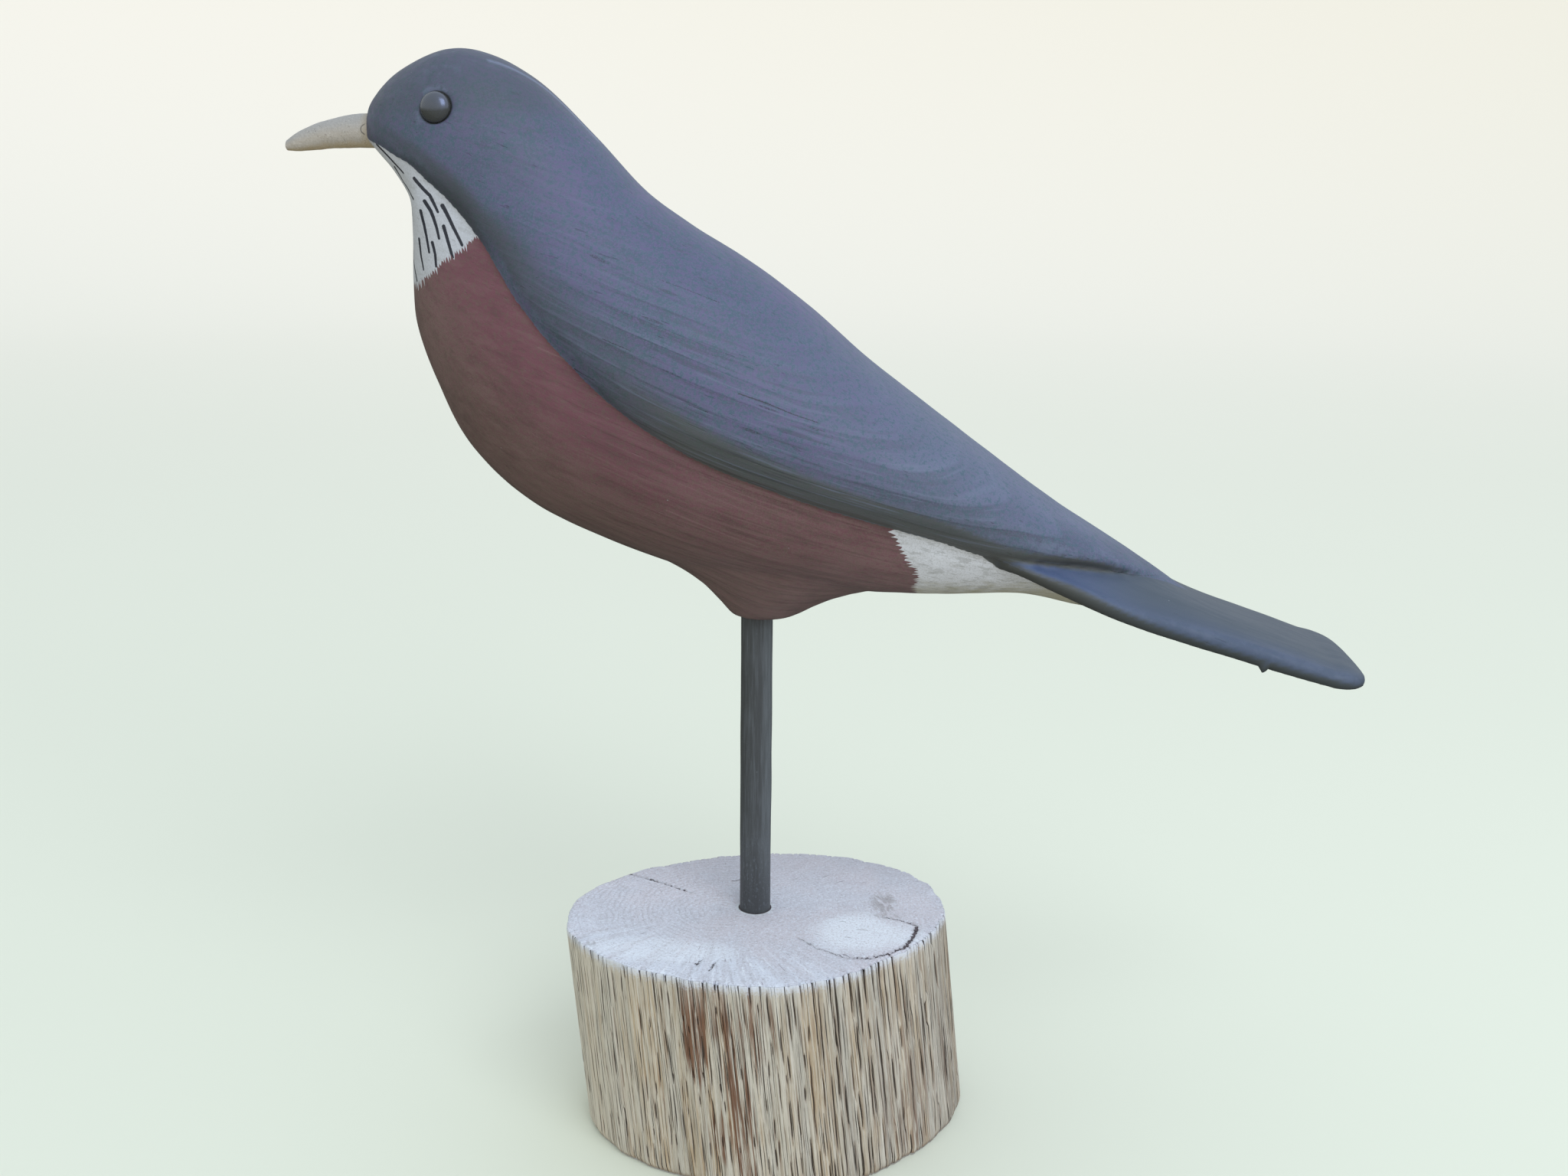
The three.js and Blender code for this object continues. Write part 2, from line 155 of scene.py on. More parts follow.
@dataclass(frozen=True)
class Stroke:
    """A tapered line through points of a plane, for paint strokes, checks and cracks."""

    points: tuple[Point2, ...]
    start: float
    end: float
    depth: float = 0.0

    def legs(self) -> list[tuple[Point2, Point2, float, float]]:
        """The straight legs of the line, each with the half widths at its two ends."""
        count = len(self.points) - 1
        widths = np.linspace(self.start, self.end, count + 1)
        return [
            (self.points[i], self.points[i + 1], float(widths[i]), float(widths[i + 1]))
            for i in range(count)
        ]

    def distance(self, places: Array) -> Array:
        """How far each place of the plane is outside the line, in millimetres.

        Args:
            places: One row of two coordinates for each place.

        Returns:
            Distances, below zero inside the line.
        """
        nearest = np.full(len(places), np.inf)
        for start, end, wide, narrow in self.legs():
            leg = np.subtract(end, start)
            offset = places - np.asarray(start)
            share = np.clip(offset @ leg / (leg @ leg), 0, 1)
            gap = np.linalg.norm(offset - share[:, None] * leg, axis=1)
            nearest = np.minimum(nearest, gap - (wide + (narrow - wide) * share))
        return nearest


@dataclass
class Shell:
    """A closed surface through rings of points, with values that its points carry."""

    rings: Array
    values: Array | None = None

    def triangles(self) -> Array:
        """Corners of the triangles between the rings and of the fans over the ends."""
        count, sides = self.rings.shape[:2]
        ring, side = np.meshgrid(np.arange(count - 1), np.arange(sides), indexing="ij")
        a = ring * sides + side
        b = ring * sides + (side + 1) % sides
        walls = np.stack([a, b, b + sides, a, b + sides, a + sides], axis=-1).reshape(-1, 3)
        around = np.arange(sides)
        after = (around + 1) % sides
        hub = count * sides
        last = (count - 1) * sides
        first_fan = np.stack([np.full(sides, hub), after, around], axis=1)
        last_fan = np.stack([np.full(sides, hub + 1), last + around, last + after], axis=1)
        return np.vstack([walls, first_fan, last_fan])

    def vertices(self) -> Array:
        """The rings' points, followed by the middle of each end."""
        ends = self.rings[[0, -1]].mean(axis=1)
        return np.vstack([self.rings.reshape(-1, 3), ends])

    def outward(self) -> Array:
        """The triangles, turned so that they face out."""
        corners = self.vertices()[self.triangles()]
        volume = np.einsum("ij,ij->", corners[:, 0], np.cross(corners[:, 1], corners[:, 2]))
        return self.triangles() if volume > 0 else self.triangles()[:, ::-1]

    def mesh(self, name: str) -> Mesh:
        """A mesh of the surface."""
        return new_mesh(name, self.vertices(), self.outward().tolist())


class Probe:
    """Finds the nearest place of a shell, and what the shell carries there."""

    def __init__(self, shell: Shell) -> None:
        """Prepares the search tree.

        Args:
            shell: The surface to search, with or without carried values.
        """
        self.points = shell.vertices()
        self.faces = shell.outward()
        self.tree = BVHTree.FromPolygons(self.points.tolist(), self.faces.tolist())
        self.carried = None
        if shell.values is not None:
            sides = shell.rings.shape[1]
            ends = shell.values.reshape(-1, sides, shell.values.shape[-1])[[0, -1]].mean(axis=1)
            self.carried = np.vstack([shell.values.reshape(-1, shell.values.shape[-1]), ends])

    def nearest(self, places: Array) -> tuple[Array, Array | None]:
        """Looks from each place to the nearest point of the surface.

        Args:
            places: One row of three coordinates for each place.

        Returns:
            The distances, and the values carried at the nearest points.
        """
        found = [self.tree.find_nearest(place) for place in places.tolist()]
        distance = np.array([hit[3] for hit in found])
        if self.carried is None:
            return distance, None
        spot = np.array([hit[0] for hit in found])
        corners = self.faces[[hit[2] for hit in found]]
        a, b, c = (self.points[corners[:, k]] for k in range(3))
        across = np.cross(b - a, c - a)
        size = np.einsum("ij,ij->i", across, across).clip(1e-12)
        share_b = np.einsum("ij,ij->i", np.cross(spot - a, c - a), across) / size
        share_c = np.einsum("ij,ij->i", np.cross(b - a, spot - a), across) / size
        shares = np.stack([1 - share_b - share_c, share_b, share_c], axis=1).clip(0, 1)
        return distance, np.einsum("ij,ijk->ik", shares, self.carried[corners])

    def above(self, x: float, y: float) -> float:
        """Height at which a line straight up from the ground meets the surface."""
        return self.tree.ray_cast(Vector((x, y, 0)), Vector((0, 0, 1)))[0].z


# Meshes.


def new_mesh(name: str, points: Array, faces: Sequence, scale: float = MM) -> Mesh:
    """Makes a smooth-shaded mesh.

    Args:
        name: Name of the mesh.
        points: One row of three coordinates for each vertex.
        faces: Vertex numbers of each face.
        scale: Metres in one unit of the points.

    Returns:
        The mesh.
    """
    mesh = bpy.data.meshes.new(name)
    mesh.from_pydata((points * scale).tolist(), [], [list(face) for face in faces])
    mesh.shade_smooth()
    mesh.update()
    return mesh


def read(items: Sequence, field: str, width: int, kind: type = np.float32) -> Array:
    """A field of a mesh's vertices or edges, one row for each.

    Args:
        items: The vertices, their normals or the edges.
        field: The field's name.
        width: Numbers in each row.
        kind: Kind of the numbers.

    Returns:
        The rows.
    """
    flat = np.zeros(len(items) * width, kind)
    items.foreach_get(field, flat)
    return flat.reshape(-1, width)


def coordinates(mesh: Mesh) -> Array:
    """Positions of a mesh's vertices in millimetres."""
    return read(mesh.vertices, "co", 3).astype(float) / MM


def place_vertices(mesh: Mesh, points: Array) -> None:
    """Moves a mesh's vertices to positions in millimetres."""
    mesh.vertices.foreach_set("co", (points * MM).astype(np.float32).ravel())
    mesh.update()


def normals(mesh: Mesh) -> Array:
    """Directions out of a mesh at its vertices."""
    return read(mesh.vertex_normals, "vector", 3).astype(float)


def relaxed(points: Array, pairs: Array, pulls: Sequence[float]) -> Array:
    """Moves each point by a share of the way to the middle of its neighbours, again and again.

    Args:
        points: One row of coordinates or values for each vertex.
        pairs: The edges' vertex numbers.
        pulls: The share for each round; one below zero pushes back out.

    Returns:
        The moved points.
    """
    count = len(points)
    degree = np.bincount(pairs.ravel(), minlength=count).clip(1)[:, None]
    for pull in pulls:
        total = np.zeros_like(points)
        for axis in range(points.shape[1]):
            total[:, axis] = np.bincount(pairs[:, 0], points[pairs[:, 1], axis], count)
            total[:, axis] += np.bincount(pairs[:, 1], points[pairs[:, 0], axis], count)
        points = points + pull * (total / degree - points)
    return points


def carry(mesh: Mesh, **layers: Array) -> None:
    """Stores numbers at each vertex, for a material to read by name."""
    for name, values in layers.items():
        layer = mesh.attributes.new(name, "FLOAT", "POINT")
        layer.data.foreach_set("value", values.astype(np.float32))


def add_object(name: str, data: ID) -> Object:
    """Adds an object with its mesh, light or camera to the scene."""
    made = bpy.data.objects.new(name, data)
    bpy.context.scene.collection.objects.link(made)
    return made


def one_skin(shells: Sequence[Shell], voxel: float) -> Mesh:
    """Joins overlapping closed shells into one even skin of small faces.

    Args:
        shells: The shells, in millimetres.
        voxel: Size of the skin's faces in millimetres.

    Returns:
        The joined mesh, in metres.
    """
    points, faces, count = [], [], 0
    for shell in shells:
        points.append(shell.vertices())
        faces.append(shell.outward() + count)
        count += len(points[-1])
    rough = new_mesh("shells", np.vstack(points), np.vstack(faces).tolist())
    holder = add_object("shells", rough)
    remesh = holder.modifiers.new("skin", "REMESH")
    remesh.mode = "VOXEL"
    remesh.voxel_size = voxel * MM
    ready = holder.evaluated_get(bpy.context.evaluated_depsgraph_get())
    skin = bpy.data.meshes.new_from_object(ready)
    bpy.data.objects.remove(holder)
    bpy.data.meshes.remove(rough)
    return skin


def put_in_scene(name: str, mesh: Mesh, finish: "Finish") -> Object:
    """Adds a mesh to the scene with its finish.

    Args:
        name: Name of the piece.
        mesh: Its mesh.
        finish: Its finish.

    Returns:
        The object.
    """
    mesh.name = name
    mesh.materials.clear()
    mesh.materials.append(finish.material())
    mesh.shade_smooth()
    return add_object(name, mesh)


def install(name: str, mesh: Mesh, finish: "Finish", node: str) -> None:
    """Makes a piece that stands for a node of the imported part, and reports it.

    Args:
        name: Name of the piece.
        mesh: Its mesh.
        finish: Its finish.
        node: The node that it stands for.
    """
    piece = put_in_scene(name, mesh, finish)
    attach(piece, ROOT)
    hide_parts(node)
    mesh.calc_loop_triangles()
    log.info("%s stands for %s: %d triangles", name, node, len(mesh.loop_triangles))


# Shader graphs.


def arithmetic(operation: str, turned: bool = False) -> Callable:
    """A method for a signal and another value, which comes first if turned; it adds their math node."""
    return lambda one, other: one.graph.math(operation, *((other, one) if turned else (one, other)))


class Signal:
    """A value on its way through a graph; arithmetic with it adds the nodes that this takes."""

    def __init__(self, graph: "Graph", socket: NodeSocket) -> None:
        """Holds an output of one of the graph's nodes."""
        self.graph = graph
        self.socket = socket

    __add__ = arithmetic("ADD")
    __sub__ = arithmetic("SUBTRACT")
    __rsub__ = arithmetic("SUBTRACT", turned=True)
    __mul__ = arithmetic("MULTIPLY")
    __truediv__ = arithmetic("DIVIDE")
    __rtruediv__ = arithmetic("DIVIDE", turned=True)
    __lt__ = arithmetic("LESS_THAN")
    __gt__ = arithmetic("GREATER_THAN")

    def __abs__(self) -> "Signal":
        """The size without its sign."""
        return self.graph.math("ABSOLUTE", self)

    def ramp(self, low: float, high: float, end: float = 1.0, start: float = 0.0) -> "Signal":
        """Start below low, end above high and a smooth change between them."""
        inputs = {0: self, 1: low, 2: high, 3: start, 4: end}
        return self.graph.node("MapRange", inputs, interpolation_type="SMOOTHSTEP", clamp=False)[0]


Value = float | tuple | Signal


class Added:
    """A node in a graph; its outputs are read by name or number."""

    def __init__(self, graph: "Graph", node: Node) -> None:
        """Holds a node of the graph."""
        self.graph = graph
        self.node = node

    def __getitem__(self, output: str | int) -> Signal:
        """The value that comes out under a name or number."""
        return Signal(self.graph, self.node.outputs[output])


class Graph:
    """Adds nodes to one node tree and joins them."""

    def __init__(self, tree: NodeTree) -> None:
        """Starts on a material's or group's empty tree."""
        self.tree = tree
        tree.nodes.clear()

    def node(self, kind: str, inputs: dict[str | int, Value] | None = None, **settings: object) -> Added:
        """Adds a node.

        Args:
            kind: The node's type without its ShaderNode start.
            inputs: Values for its inputs, by name or number.
            settings: Its own settings.

        Returns:
            The node.
        """
        made = self.tree.nodes.new("ShaderNode" + kind)
        for name, value in settings.items():
            setattr(made, name, value)
        for name, value in (inputs or {}).items():
            self.feed(made.inputs[name], value)
        return Added(self, made)

    def feed(self, socket: NodeSocket, value: Value) -> None:
        """Joins a signal to an input, or sets the input to a plain value.

        Args:
            socket: The input.
            value: The signal or the plain value.
        """
        if isinstance(value, Signal):
            self.tree.links.new(value.socket, socket)
        elif socket.type == "RGBA" and len(value) == 3:
            socket.default_value = (*value, 1.0)
        else:
            socket.default_value = value

    def math(self, operation: str, *values: Value) -> Signal:
        """Arithmetic on numbers."""
        return self.node("Math", dict(enumerate(values)), operation=operation)[0]

    def vector(self, operation: str, *values: Value) -> Signal:
        """Arithmetic on vectors; lengths, distances and dot products come out as numbers."""
        made = self.node("VectorMath", dict(enumerate(values)), operation=operation)
        return made["Value" if operation in {"LENGTH", "DISTANCE", "DOT_PRODUCT"} else "Vector"]

    def scaled(self, vector: Value, factor: Value) -> Signal:
        """A vector times a number."""
        return self.node("VectorMath", {0: vector, "Scale": factor}, operation="SCALE")[0]

    def join(self, x: Value, y: Value, z: Value = 0) -> Signal:
        """A vector from its three numbers."""
        return self.node("CombineXYZ", {0: x, 1: y, 2: z})[0]

    def split(self, vector: Value) -> list[Signal]:
        """The three numbers of a vector."""
        parts = self.node("SeparateXYZ", {0: vector})
        return [parts[0], parts[1], parts[2]]

    def noise(self, place: Value, scale: float, detail: float = 2.0, rough: float = 0.5) -> Signal:
        """Smooth noise from 0 to 1: bumps to the unit, finer layers and their strength."""
        inputs = {"Vector": place, "Scale": scale, "Detail": detail, "Roughness": rough}
        return self.node("TexNoise", inputs)[0]

    def chance(self, number: Value) -> Signal:
        """A random number from 0 to 1 for each whole number."""
        return self.node("TexWhiteNoise", {"W": number}, noise_dimensions="1D")["Value"]

    def mix(self, share: Value, low: Value, high: Value, blend: str = "MIX") -> Signal:
        """One colour turned into another by a share, or laid on it by another blend."""
        inputs = {0: share, 6: low, 7: high}
        return self.node("Mix", inputs, data_type="RGBA", blend_type=blend, clamp_factor=True)[2]

    def coats(self, colour: Value, rows: Sequence[tuple[Signal, float, float, float, Rgb]]) -> Signal:
        """Lays several colours over one another.

        Args:
            colour: What they are laid on.
            rows: For each the signal that it follows, where it begins, where it is full, how much of it
                then shows, and the colour.

        Returns:
            The colour.
        """
        for signal, low, high, share, paint in rows:
            colour = self.mix(signal.ramp(low, high, share), colour, paint)
        return colour

    def curve(self, value: Value, points: Sequence[Point2]) -> Signal:
        """A number read off a smooth line through points.

        Args:
            value: Where to read.
            points: The line's points in order of their first number.

        Returns:
            The result.
        """
        low_x, low_y = np.min(points, axis=0)
        high_x, high_y = np.max(points, axis=0)
        share = self.node("MapRange", {0: value, 1: low_x, 2: high_x}, clamp=False)[0]
        made = self.node("FloatCurve", {"Value": share})
        made.node.mapping.extend = "HORIZONTAL"
        line = made.node.mapping.curves[0]
        spots = [((x - low_x) / (high_x - low_x), (y - low_y) / (high_y - low_y)) for x, y in points]
        for spot in spots[1:-1]:
            line.points.new(*spot)
        line.points[0].location, line.points[-1].location = spots[0], spots[-1]
        made.node.mapping.update()
        return self.node("MapRange", {0: made[0], 3: low_y, 4: high_y}, clamp=False)[0]

    def carried(self, name: str) -> Signal:
        """The number that the mesh carries under a name."""
        return self.node("Attribute", attribute_name=name)["Fac"]

    def use(self, group: NodeTree, **inputs: Value) -> Added:
        """Adds a node group, with the values of its inputs by name.

        Args:
            group: The group's tree.
            inputs: Values for its inputs.

        Returns:
            The group's node.
        """
        made = self.tree.nodes.new("ShaderNodeGroup")
        made.node_tree = group
        for name, value in inputs.items():
            self.feed(made.inputs[name], value)
        return Added(self, made)

    def millimetres(self) -> Signal:
        """Place on the piece in millimetres."""
        return self.scaled(self.node("TexCoord")["Object"], 1 / MM)


class SocketKind(Enum):
    """Kinds of group sockets."""

    NUMBER = "NodeSocketFloat"
    VECTOR = "NodeSocketVector"


class SharedGroup:
    """A shader node group that is built once and used by several materials."""

    def __init__(self, name: str, vectors: str, numbers: str, outputs: str) -> None:
        """Makes the group's tree with its sockets.

        Args:
            name: Name of the group.
            vectors: Names of the inputs that are vectors.
            numbers: Names of the inputs that are numbers.
            outputs: Names of the outputs, which are numbers.
        """
        self.tree = bpy.data.node_groups.new(name, "ShaderNodeTree")
        kinds = (SocketKind.VECTOR, SocketKind.NUMBER, SocketKind.NUMBER)
        for names, side, kind in zip((vectors, numbers, outputs), ("INPUT", "INPUT", "OUTPUT"), kinds):
            for socket in names.split():
                self.tree.interface.new_socket(socket, in_out=side, socket_type=kind.value)
        self.graph = Graph(self.tree)
        self.start = self.tree.nodes.new("NodeGroupInput")
        self.finish = self.tree.nodes.new("NodeGroupOutput")

    def __getitem__(self, name: str) -> Signal:
        """The value that comes in under a name."""
        return Signal(self.graph, self.start.outputs[name])

    def put_out(self, **values: Value) -> NodeTree:
        """Joins the group's results to its outputs and returns its tree."""
        for name, value in values.items():
            self.graph.feed(self.finish.inputs[name], value)
        return self.tree


@cache
def stroke_group() -> NodeTree:
    """Distance from a place on a plane to one leg of a tapered line."""
    group = SharedGroup("Tapered stroke", "Place From To", "Start End", "Distance")
    g = group.graph
    offset = g.vector("SUBTRACT", group["Place"], group["From"])
    leg = g.vector("SUBTRACT", group["To"], group["From"])
    length = g.vector("DOT_PRODUCT", leg, leg)
    share = g.vector("DOT_PRODUCT", offset, leg) / length
    share = g.math("MINIMUM", g.math("MAXIMUM", share, 0), 1)
    gap = g.vector("LENGTH", g.vector("SUBTRACT", offset, g.scaled(leg, share)))
    half = g.node("MapRange", {0: share, 3: group["Start"], 4: group["End"]}, clamp=False)[0]
    return group.put_out(Distance=gap - half)


@cache
def blot_group() -> NodeTree:
    """A soft, uneven patch around a centre."""
    group = SharedGroup("Soft blot", "Place Centre Size", "Raggedness Noise", "Mask")
    g = group.graph
    offset = g.vector("DIVIDE", g.vector("SUBTRACT", group["Place"], group["Centre"]), group["Size"])
    ragged = (group["Noise"] - 0.5) * group["Raggedness"]
    reach = g.vector("LENGTH", offset) + ragged
    return group.put_out(Mask=reach.ramp(1.15, 0.55))


@cache
def speckle_group() -> NodeTree:
    """Scattered small specks."""
    group = SharedGroup("Specks", "Place", "Spacing Size Share", "Mask")
    g = group.graph
    scale = 1 / group["Spacing"]
    cell = g.node("TexVoronoi", {"Vector": group["Place"], "Scale": scale}, feature="F1")
    gap = cell["Distance"] * group["Spacing"]
    inside = gap.ramp(group["Size"], 0)
    chance = g.split(cell["Color"])[0]
    chosen = chance < group["Share"]
    return group.put_out(Mask=inside * chosen)


@cache
def wear_group() -> NodeTree:
    """Rubbing on edges that stand out, broken up by noise."""
    group = SharedGroup("Edge wear", "Place", "Convexity Amount", "Mask")
    g = group.graph
    patchy = g.noise(group["Place"], 0.35, 4, 0.65)
    reach = group["Convexity"] * patchy.ramp(0.38, 0.66)
    return group.put_out(Mask=reach.ramp(0.15, 0.8) * group["Amount"])


@cache
def wood_group() -> NodeTree:
    """Lines of growth rings and pores that show through thin paint."""
    group = SharedGroup("Grain under paint", "Fibre", "Ring Sharpness", "Line Pale Pores Height")
    g = group.graph
    year = g.math("FRACT", group["Ring"])
    number = g.math("FLOOR", group["Ring"])
    strength = g.chance(number)
    patchy = g.noise(group["Fibre"], 0.09, 3, 0.6).ramp(0.36, 0.56, 1, 0.45)
    power = strength.ramp(0.1, 0.9, 1, 0.5) * patchy
    late = year.ramp(0.35, 0.95) * year.ramp(1, 0.97)
    edge = year.ramp(0, 0.05) * year.ramp(0.5, 0.08)
    line = late * power * group["Sharpness"]
    pale = edge * power * group["Sharpness"]
    pores = g.noise(group["Fibre"], 1.5, 2, 0.5).ramp(0.69, 0.74)
    height = pale * 0.05 - line * 0.05 - pores * 0.06
    return group.put_out(Line=line, Pale=pale, Pores=pores, Height=height)


@cache
def split_group() -> NodeTree:
    """Thin dark splits that run up a surface in wavering lanes."""
    group = SharedGroup("Upright splits", "", "Around Height Lane Length Share Width", "Mask")
    g = group.graph
    slow = g.noise(g.join(group["Around"], group["Height"] * 0.12), 0.35, 2, 0.5)
    wander = (slow - 0.5) * 0.8
    place = (group["Around"] + wander) / group["Lane"]
    lane = g.math("FLOOR", place)
    start = g.chance(lane)
    climb = group["Height"] / group["Length"] + start * 9
    chance = g.node("TexWhiteNoise", {"Vector": g.join(lane, g.math("FLOOR", climb), 3.7)})
    across, share, size = g.split(chance["Color"])
    shift = across.ramp(0, 1, 0.8, 0.2)
    gap = abs(g.math("FRACT", place) - shift) * group["Lane"]
    lens = g.math("SINE", g.math("FRACT", climb) * math.pi)
    half = lens * group["Width"] * (size + 0.5)
    drawn = share < group["Share"]
    inside = (gap - half).ramp(0.035, -0.035)
    return group.put_out(Mask=inside * drawn)


class Finish:
    """Base of the finishes: makes a material and fills its shader."""

    name: str = "finish"

    def material(self) -> Material:
        """Makes the material with its nodes."""
        made = bpy.data.materials.new(self.name)
        made.use_nodes = True
        g = Graph(made.node_tree)
        shader = g.node("BsdfPrincipled", self.dress(g))
        g.node("OutputMaterial", {"Surface": shader[0]})
        return made

    def dress(self, g: Graph) -> dict[str, Value]:
        """Adds the finish's nodes to the graph and says what goes into the shader's inputs."""
        raise NotImplementedError

    @staticmethod
    def relief(g: Graph, height: Value, strength: float = 1.0) -> Signal:
        """Normal of a surface with a height in millimetres, of which a share counts."""
        return g.node("Bump", {"Height": height, "Distance": MM, "Strength": strength})[0]

    @staticmethod
    def strokes(g: Graph, place: Value, strokes: Sequence[Stroke]) -> Signal:
        """Distance to the nearest of several strokes.

        Args:
            g: The material's graph.
            place: Place on the strokes' plane.
            strokes: The strokes.

        Returns:
            The distance in millimetres.
        """
        nearest = None
        for stroke in strokes:
            for start, end, wide, narrow in stroke.legs():
                inputs = {"From": (*start, 0), "To": (*end, 0), "Start": wide, "End": narrow}
                leg = g.use(stroke_group(), Place=place, **inputs)["Distance"]
                nearest = leg if nearest is None else g.math("MINIMUM", nearest, leg)
        return nearest


# Carved and painted body.


@dataclass(frozen=True)
class Station:
    """Section of the body: ends on the middle plane, widths and the wing's edge.

    back and belly are x and z on the middle plane, half is half the width, top the squareness above
    the widest line, edge the wing edge's share of the way down, step how far the wing stands out
    and roll the height of its rounded underside.
    """

    back: Point2
    belly: Point2
    half: float
    top: float
    edge: float
    step: float
    roll: float


@dataclass(frozen=True)
class TailStation:
    """Section of the tail at x: rim is the height of its side edge, crown how far its top swells."""

    x: float
    rim: float
    half: float
    thick: float
    crown: float


@dataclass(frozen=True)
class Paint:
    """Colours of one milk paint: as laid, where it is thin and rubbed, and where it lies thick."""

    laid: Rgb
    # The rubbed colour also stands for painted light on the back and breast, and for the crown's painted
    # highlight.
    rubbed: Rgb
    thick: Rgb


@dataclass(frozen=True)
class RobinPaint(Finish):
    """Slate, red and white milk paints on carved wood, with dark strokes on the throat."""

    name: str = "robin_milk_paint"
    slate: Paint = Paint((0.063, 0.078, 0.132), (0.118, 0.143, 0.215), (0.024, 0.03, 0.04))
    red: Paint = Paint((0.11, 0.055, 0.054), (0.185, 0.112, 0.112), (0.05, 0.03, 0.028))
    white: Paint = Paint((0.4, 0.415, 0.455), (0.5, 0.525, 0.58), (0.25, 0.252, 0.245))
    # Painted shade for the wing's low rounded edge and beside the throat: lighter by the crease, darker on
    # the neck.
    shade: Rgb = (0.062, 0.067, 0.058)
    low_shade: Rgb = (0.084, 0.086, 0.074)
    neck_shade: Rgb = (0.036, 0.042, 0.044)
    # Painted shade on the top and front of the head, stronger higher up.
    crown: Rgb = (0.036, 0.047, 0.046)
    crown_shade_depth: tuple[Point2, ...] = ((188, 0), (194, 0.14), (201, 0.17), (207, 0.47), (216, 0.5))
    # Painted shade on the tail's low rounded edge and under the wing tip.
    rim: Rgb = (0.046, 0.047, 0.038)
    teal: Rgb = (0.034, 0.086, 0.112)
    violet: Rgb = (0.092, 0.074, 0.165)
    indigo: Rgb = (0.054, 0.084, 0.178)
    plum: Rgb = (0.135, 0.046, 0.066)
    umber: Rgb = (0.108, 0.076, 0.062)
    vent_tint: Rgb = (1.2, 1.18, 1.14)
    vent_low: Rgb = (0.3, 0.278, 0.18)
    far_tail: Rgb = (0.05, 0.066, 0.08)
    stroke_colour: Rgb = (0.02, 0.022, 0.032)
    gap_colour: Rgb = (0.012, 0.013, 0.015)
    throat_axis: float = -40.0
    throat_radius: float = 24.0
    throat_edge: tuple[Point2, ...] = (
        (0, 173.2), (12, 173.6), (25, 174.3), (32, 175.2), (39, 177), (45, 178.9),
        (50, 180), (56, 181.6), (62, 183.4), (68, 187), (90, 200),
    )
    vent_edge: tuple[Point2, ...] = (
        (112, 30.6), (116, 30.5), (119, 30.1), (122.6, 30.2), (124.7, 29), (127.5, 27.3), (131, 25.5),
    )
    tail_line: tuple[Point2, ...] = (
        (38, 131.5), (40.2, 129.6), (41.8, 126.9), (44.9, 124.5), (47.7, 123.4), (53.3, 121.4),
        (59, 119.4), (64, 117.1), (70, 114.1), (78, 111), (86, 108.5), (102, 103.9), (116, 100.3),
    )
    # How strong the painted shade under the wing's edge and beside the throat is along the bird.
    band_strength: tuple[Point2, ...] = (
        (-72, 0.3), (-48, 0.3), (-38, 0.25), (-30, 0.4), (-22, 0.75), (-13, 1),
        (4, 1), (20, 1), (33, 1), (57, 1), (66, 0.85), (71, 0.3), (79, 0),
    )
    cheek_strength: tuple[Point2, ...] = (
        (-74, 0.3), (-66, 0.4), (-59, 0.8), (-53, 1), (-45, 0.9),
        (-36, 0.65), (-24, 0.45), (-10, 0.35), (4, 0),
    )
    throat_strokes: tuple[Stroke, ...] = (
        Stroke(((5.6, 198.4), (8.5, 196), (11.1, 193.6)), 0.2, 0.14),
        Stroke(((8.8, 194.5), (9.5, 191.9), (12.9, 189.1)), 0.22, 0.14),
        Stroke(((13.8, 192.7), (16.3, 189.8), (17.4, 187)), 0.26, 0.17),
        Stroke(((15.4, 188.8), (16.2, 187.2), (17, 184.3), (17.4, 182.4)), 0.28, 0.2),
        Stroke(((14.4, 187.1), (14.6, 184.7), (14.8, 181.9), (15, 179.9)), 0.25, 0.2),
        Stroke(((18.2, 188.1), (20.2, 184.6), (22.3, 181.4)), 0.3, 0.24),
        Stroke(((18.4, 184.5), (19.3, 181.9), (20.3, 179.2)), 0.3, 0.25),
        Stroke(((12.8, 182.1), (12.7, 179.1), (13, 176.7)), 0.24, 0.15),
        Stroke(((15.9, 181.6), (16.4, 179.6), (16.5, 177.5)), 0.27, 0.22),
        Stroke(((10.2, 188), (11, 186.2)), 0.16, 0.12),
        Stroke(((9, 184), (8.5, 178.8), (9.9, 174.5)), 0.16, 0.24),
        Stroke(((3.4, 194.6), (4.4, 190.2)), 0.2, 0.14),
        Stroke(((5.9, 189.2), (6.2, 184.6)), 0.22, 0.15),
        Stroke(((3, 186.4), (3.2, 181.2)), 0.23, 0.15),
        Stroke(((5.6, 181.4), (5.4, 177)), 0.23, 0.16),
        Stroke(((1.6, 179.8), (1.9, 175.4)), 0.23, 0.18),
    )
    grain_checks: tuple[Stroke, ...] = (
        Stroke(((-2.2, 157.1), (2.5, 155.5), (7.2, 153.5), (11.8, 151.9)), 0.1, 0.06),
        Stroke(((-16.7, 176.2), (-11.4, 174.3), (-6.1, 172.2)), 0.01, 0.04),
        Stroke(((-26, 166.2), (-21, 164.2)), 0.06, 0.02),
        Stroke(((-31.5, 160.6), (-27.6, 158.8)), 0.07, 0.02),
        Stroke(((-12, 155.6), (-7.6, 153.9)), 0.02, 0.06),
        Stroke(((67.6, 122.6), (71.6, 121.6), (76.6, 120.6)), 0.06, 0),
    )
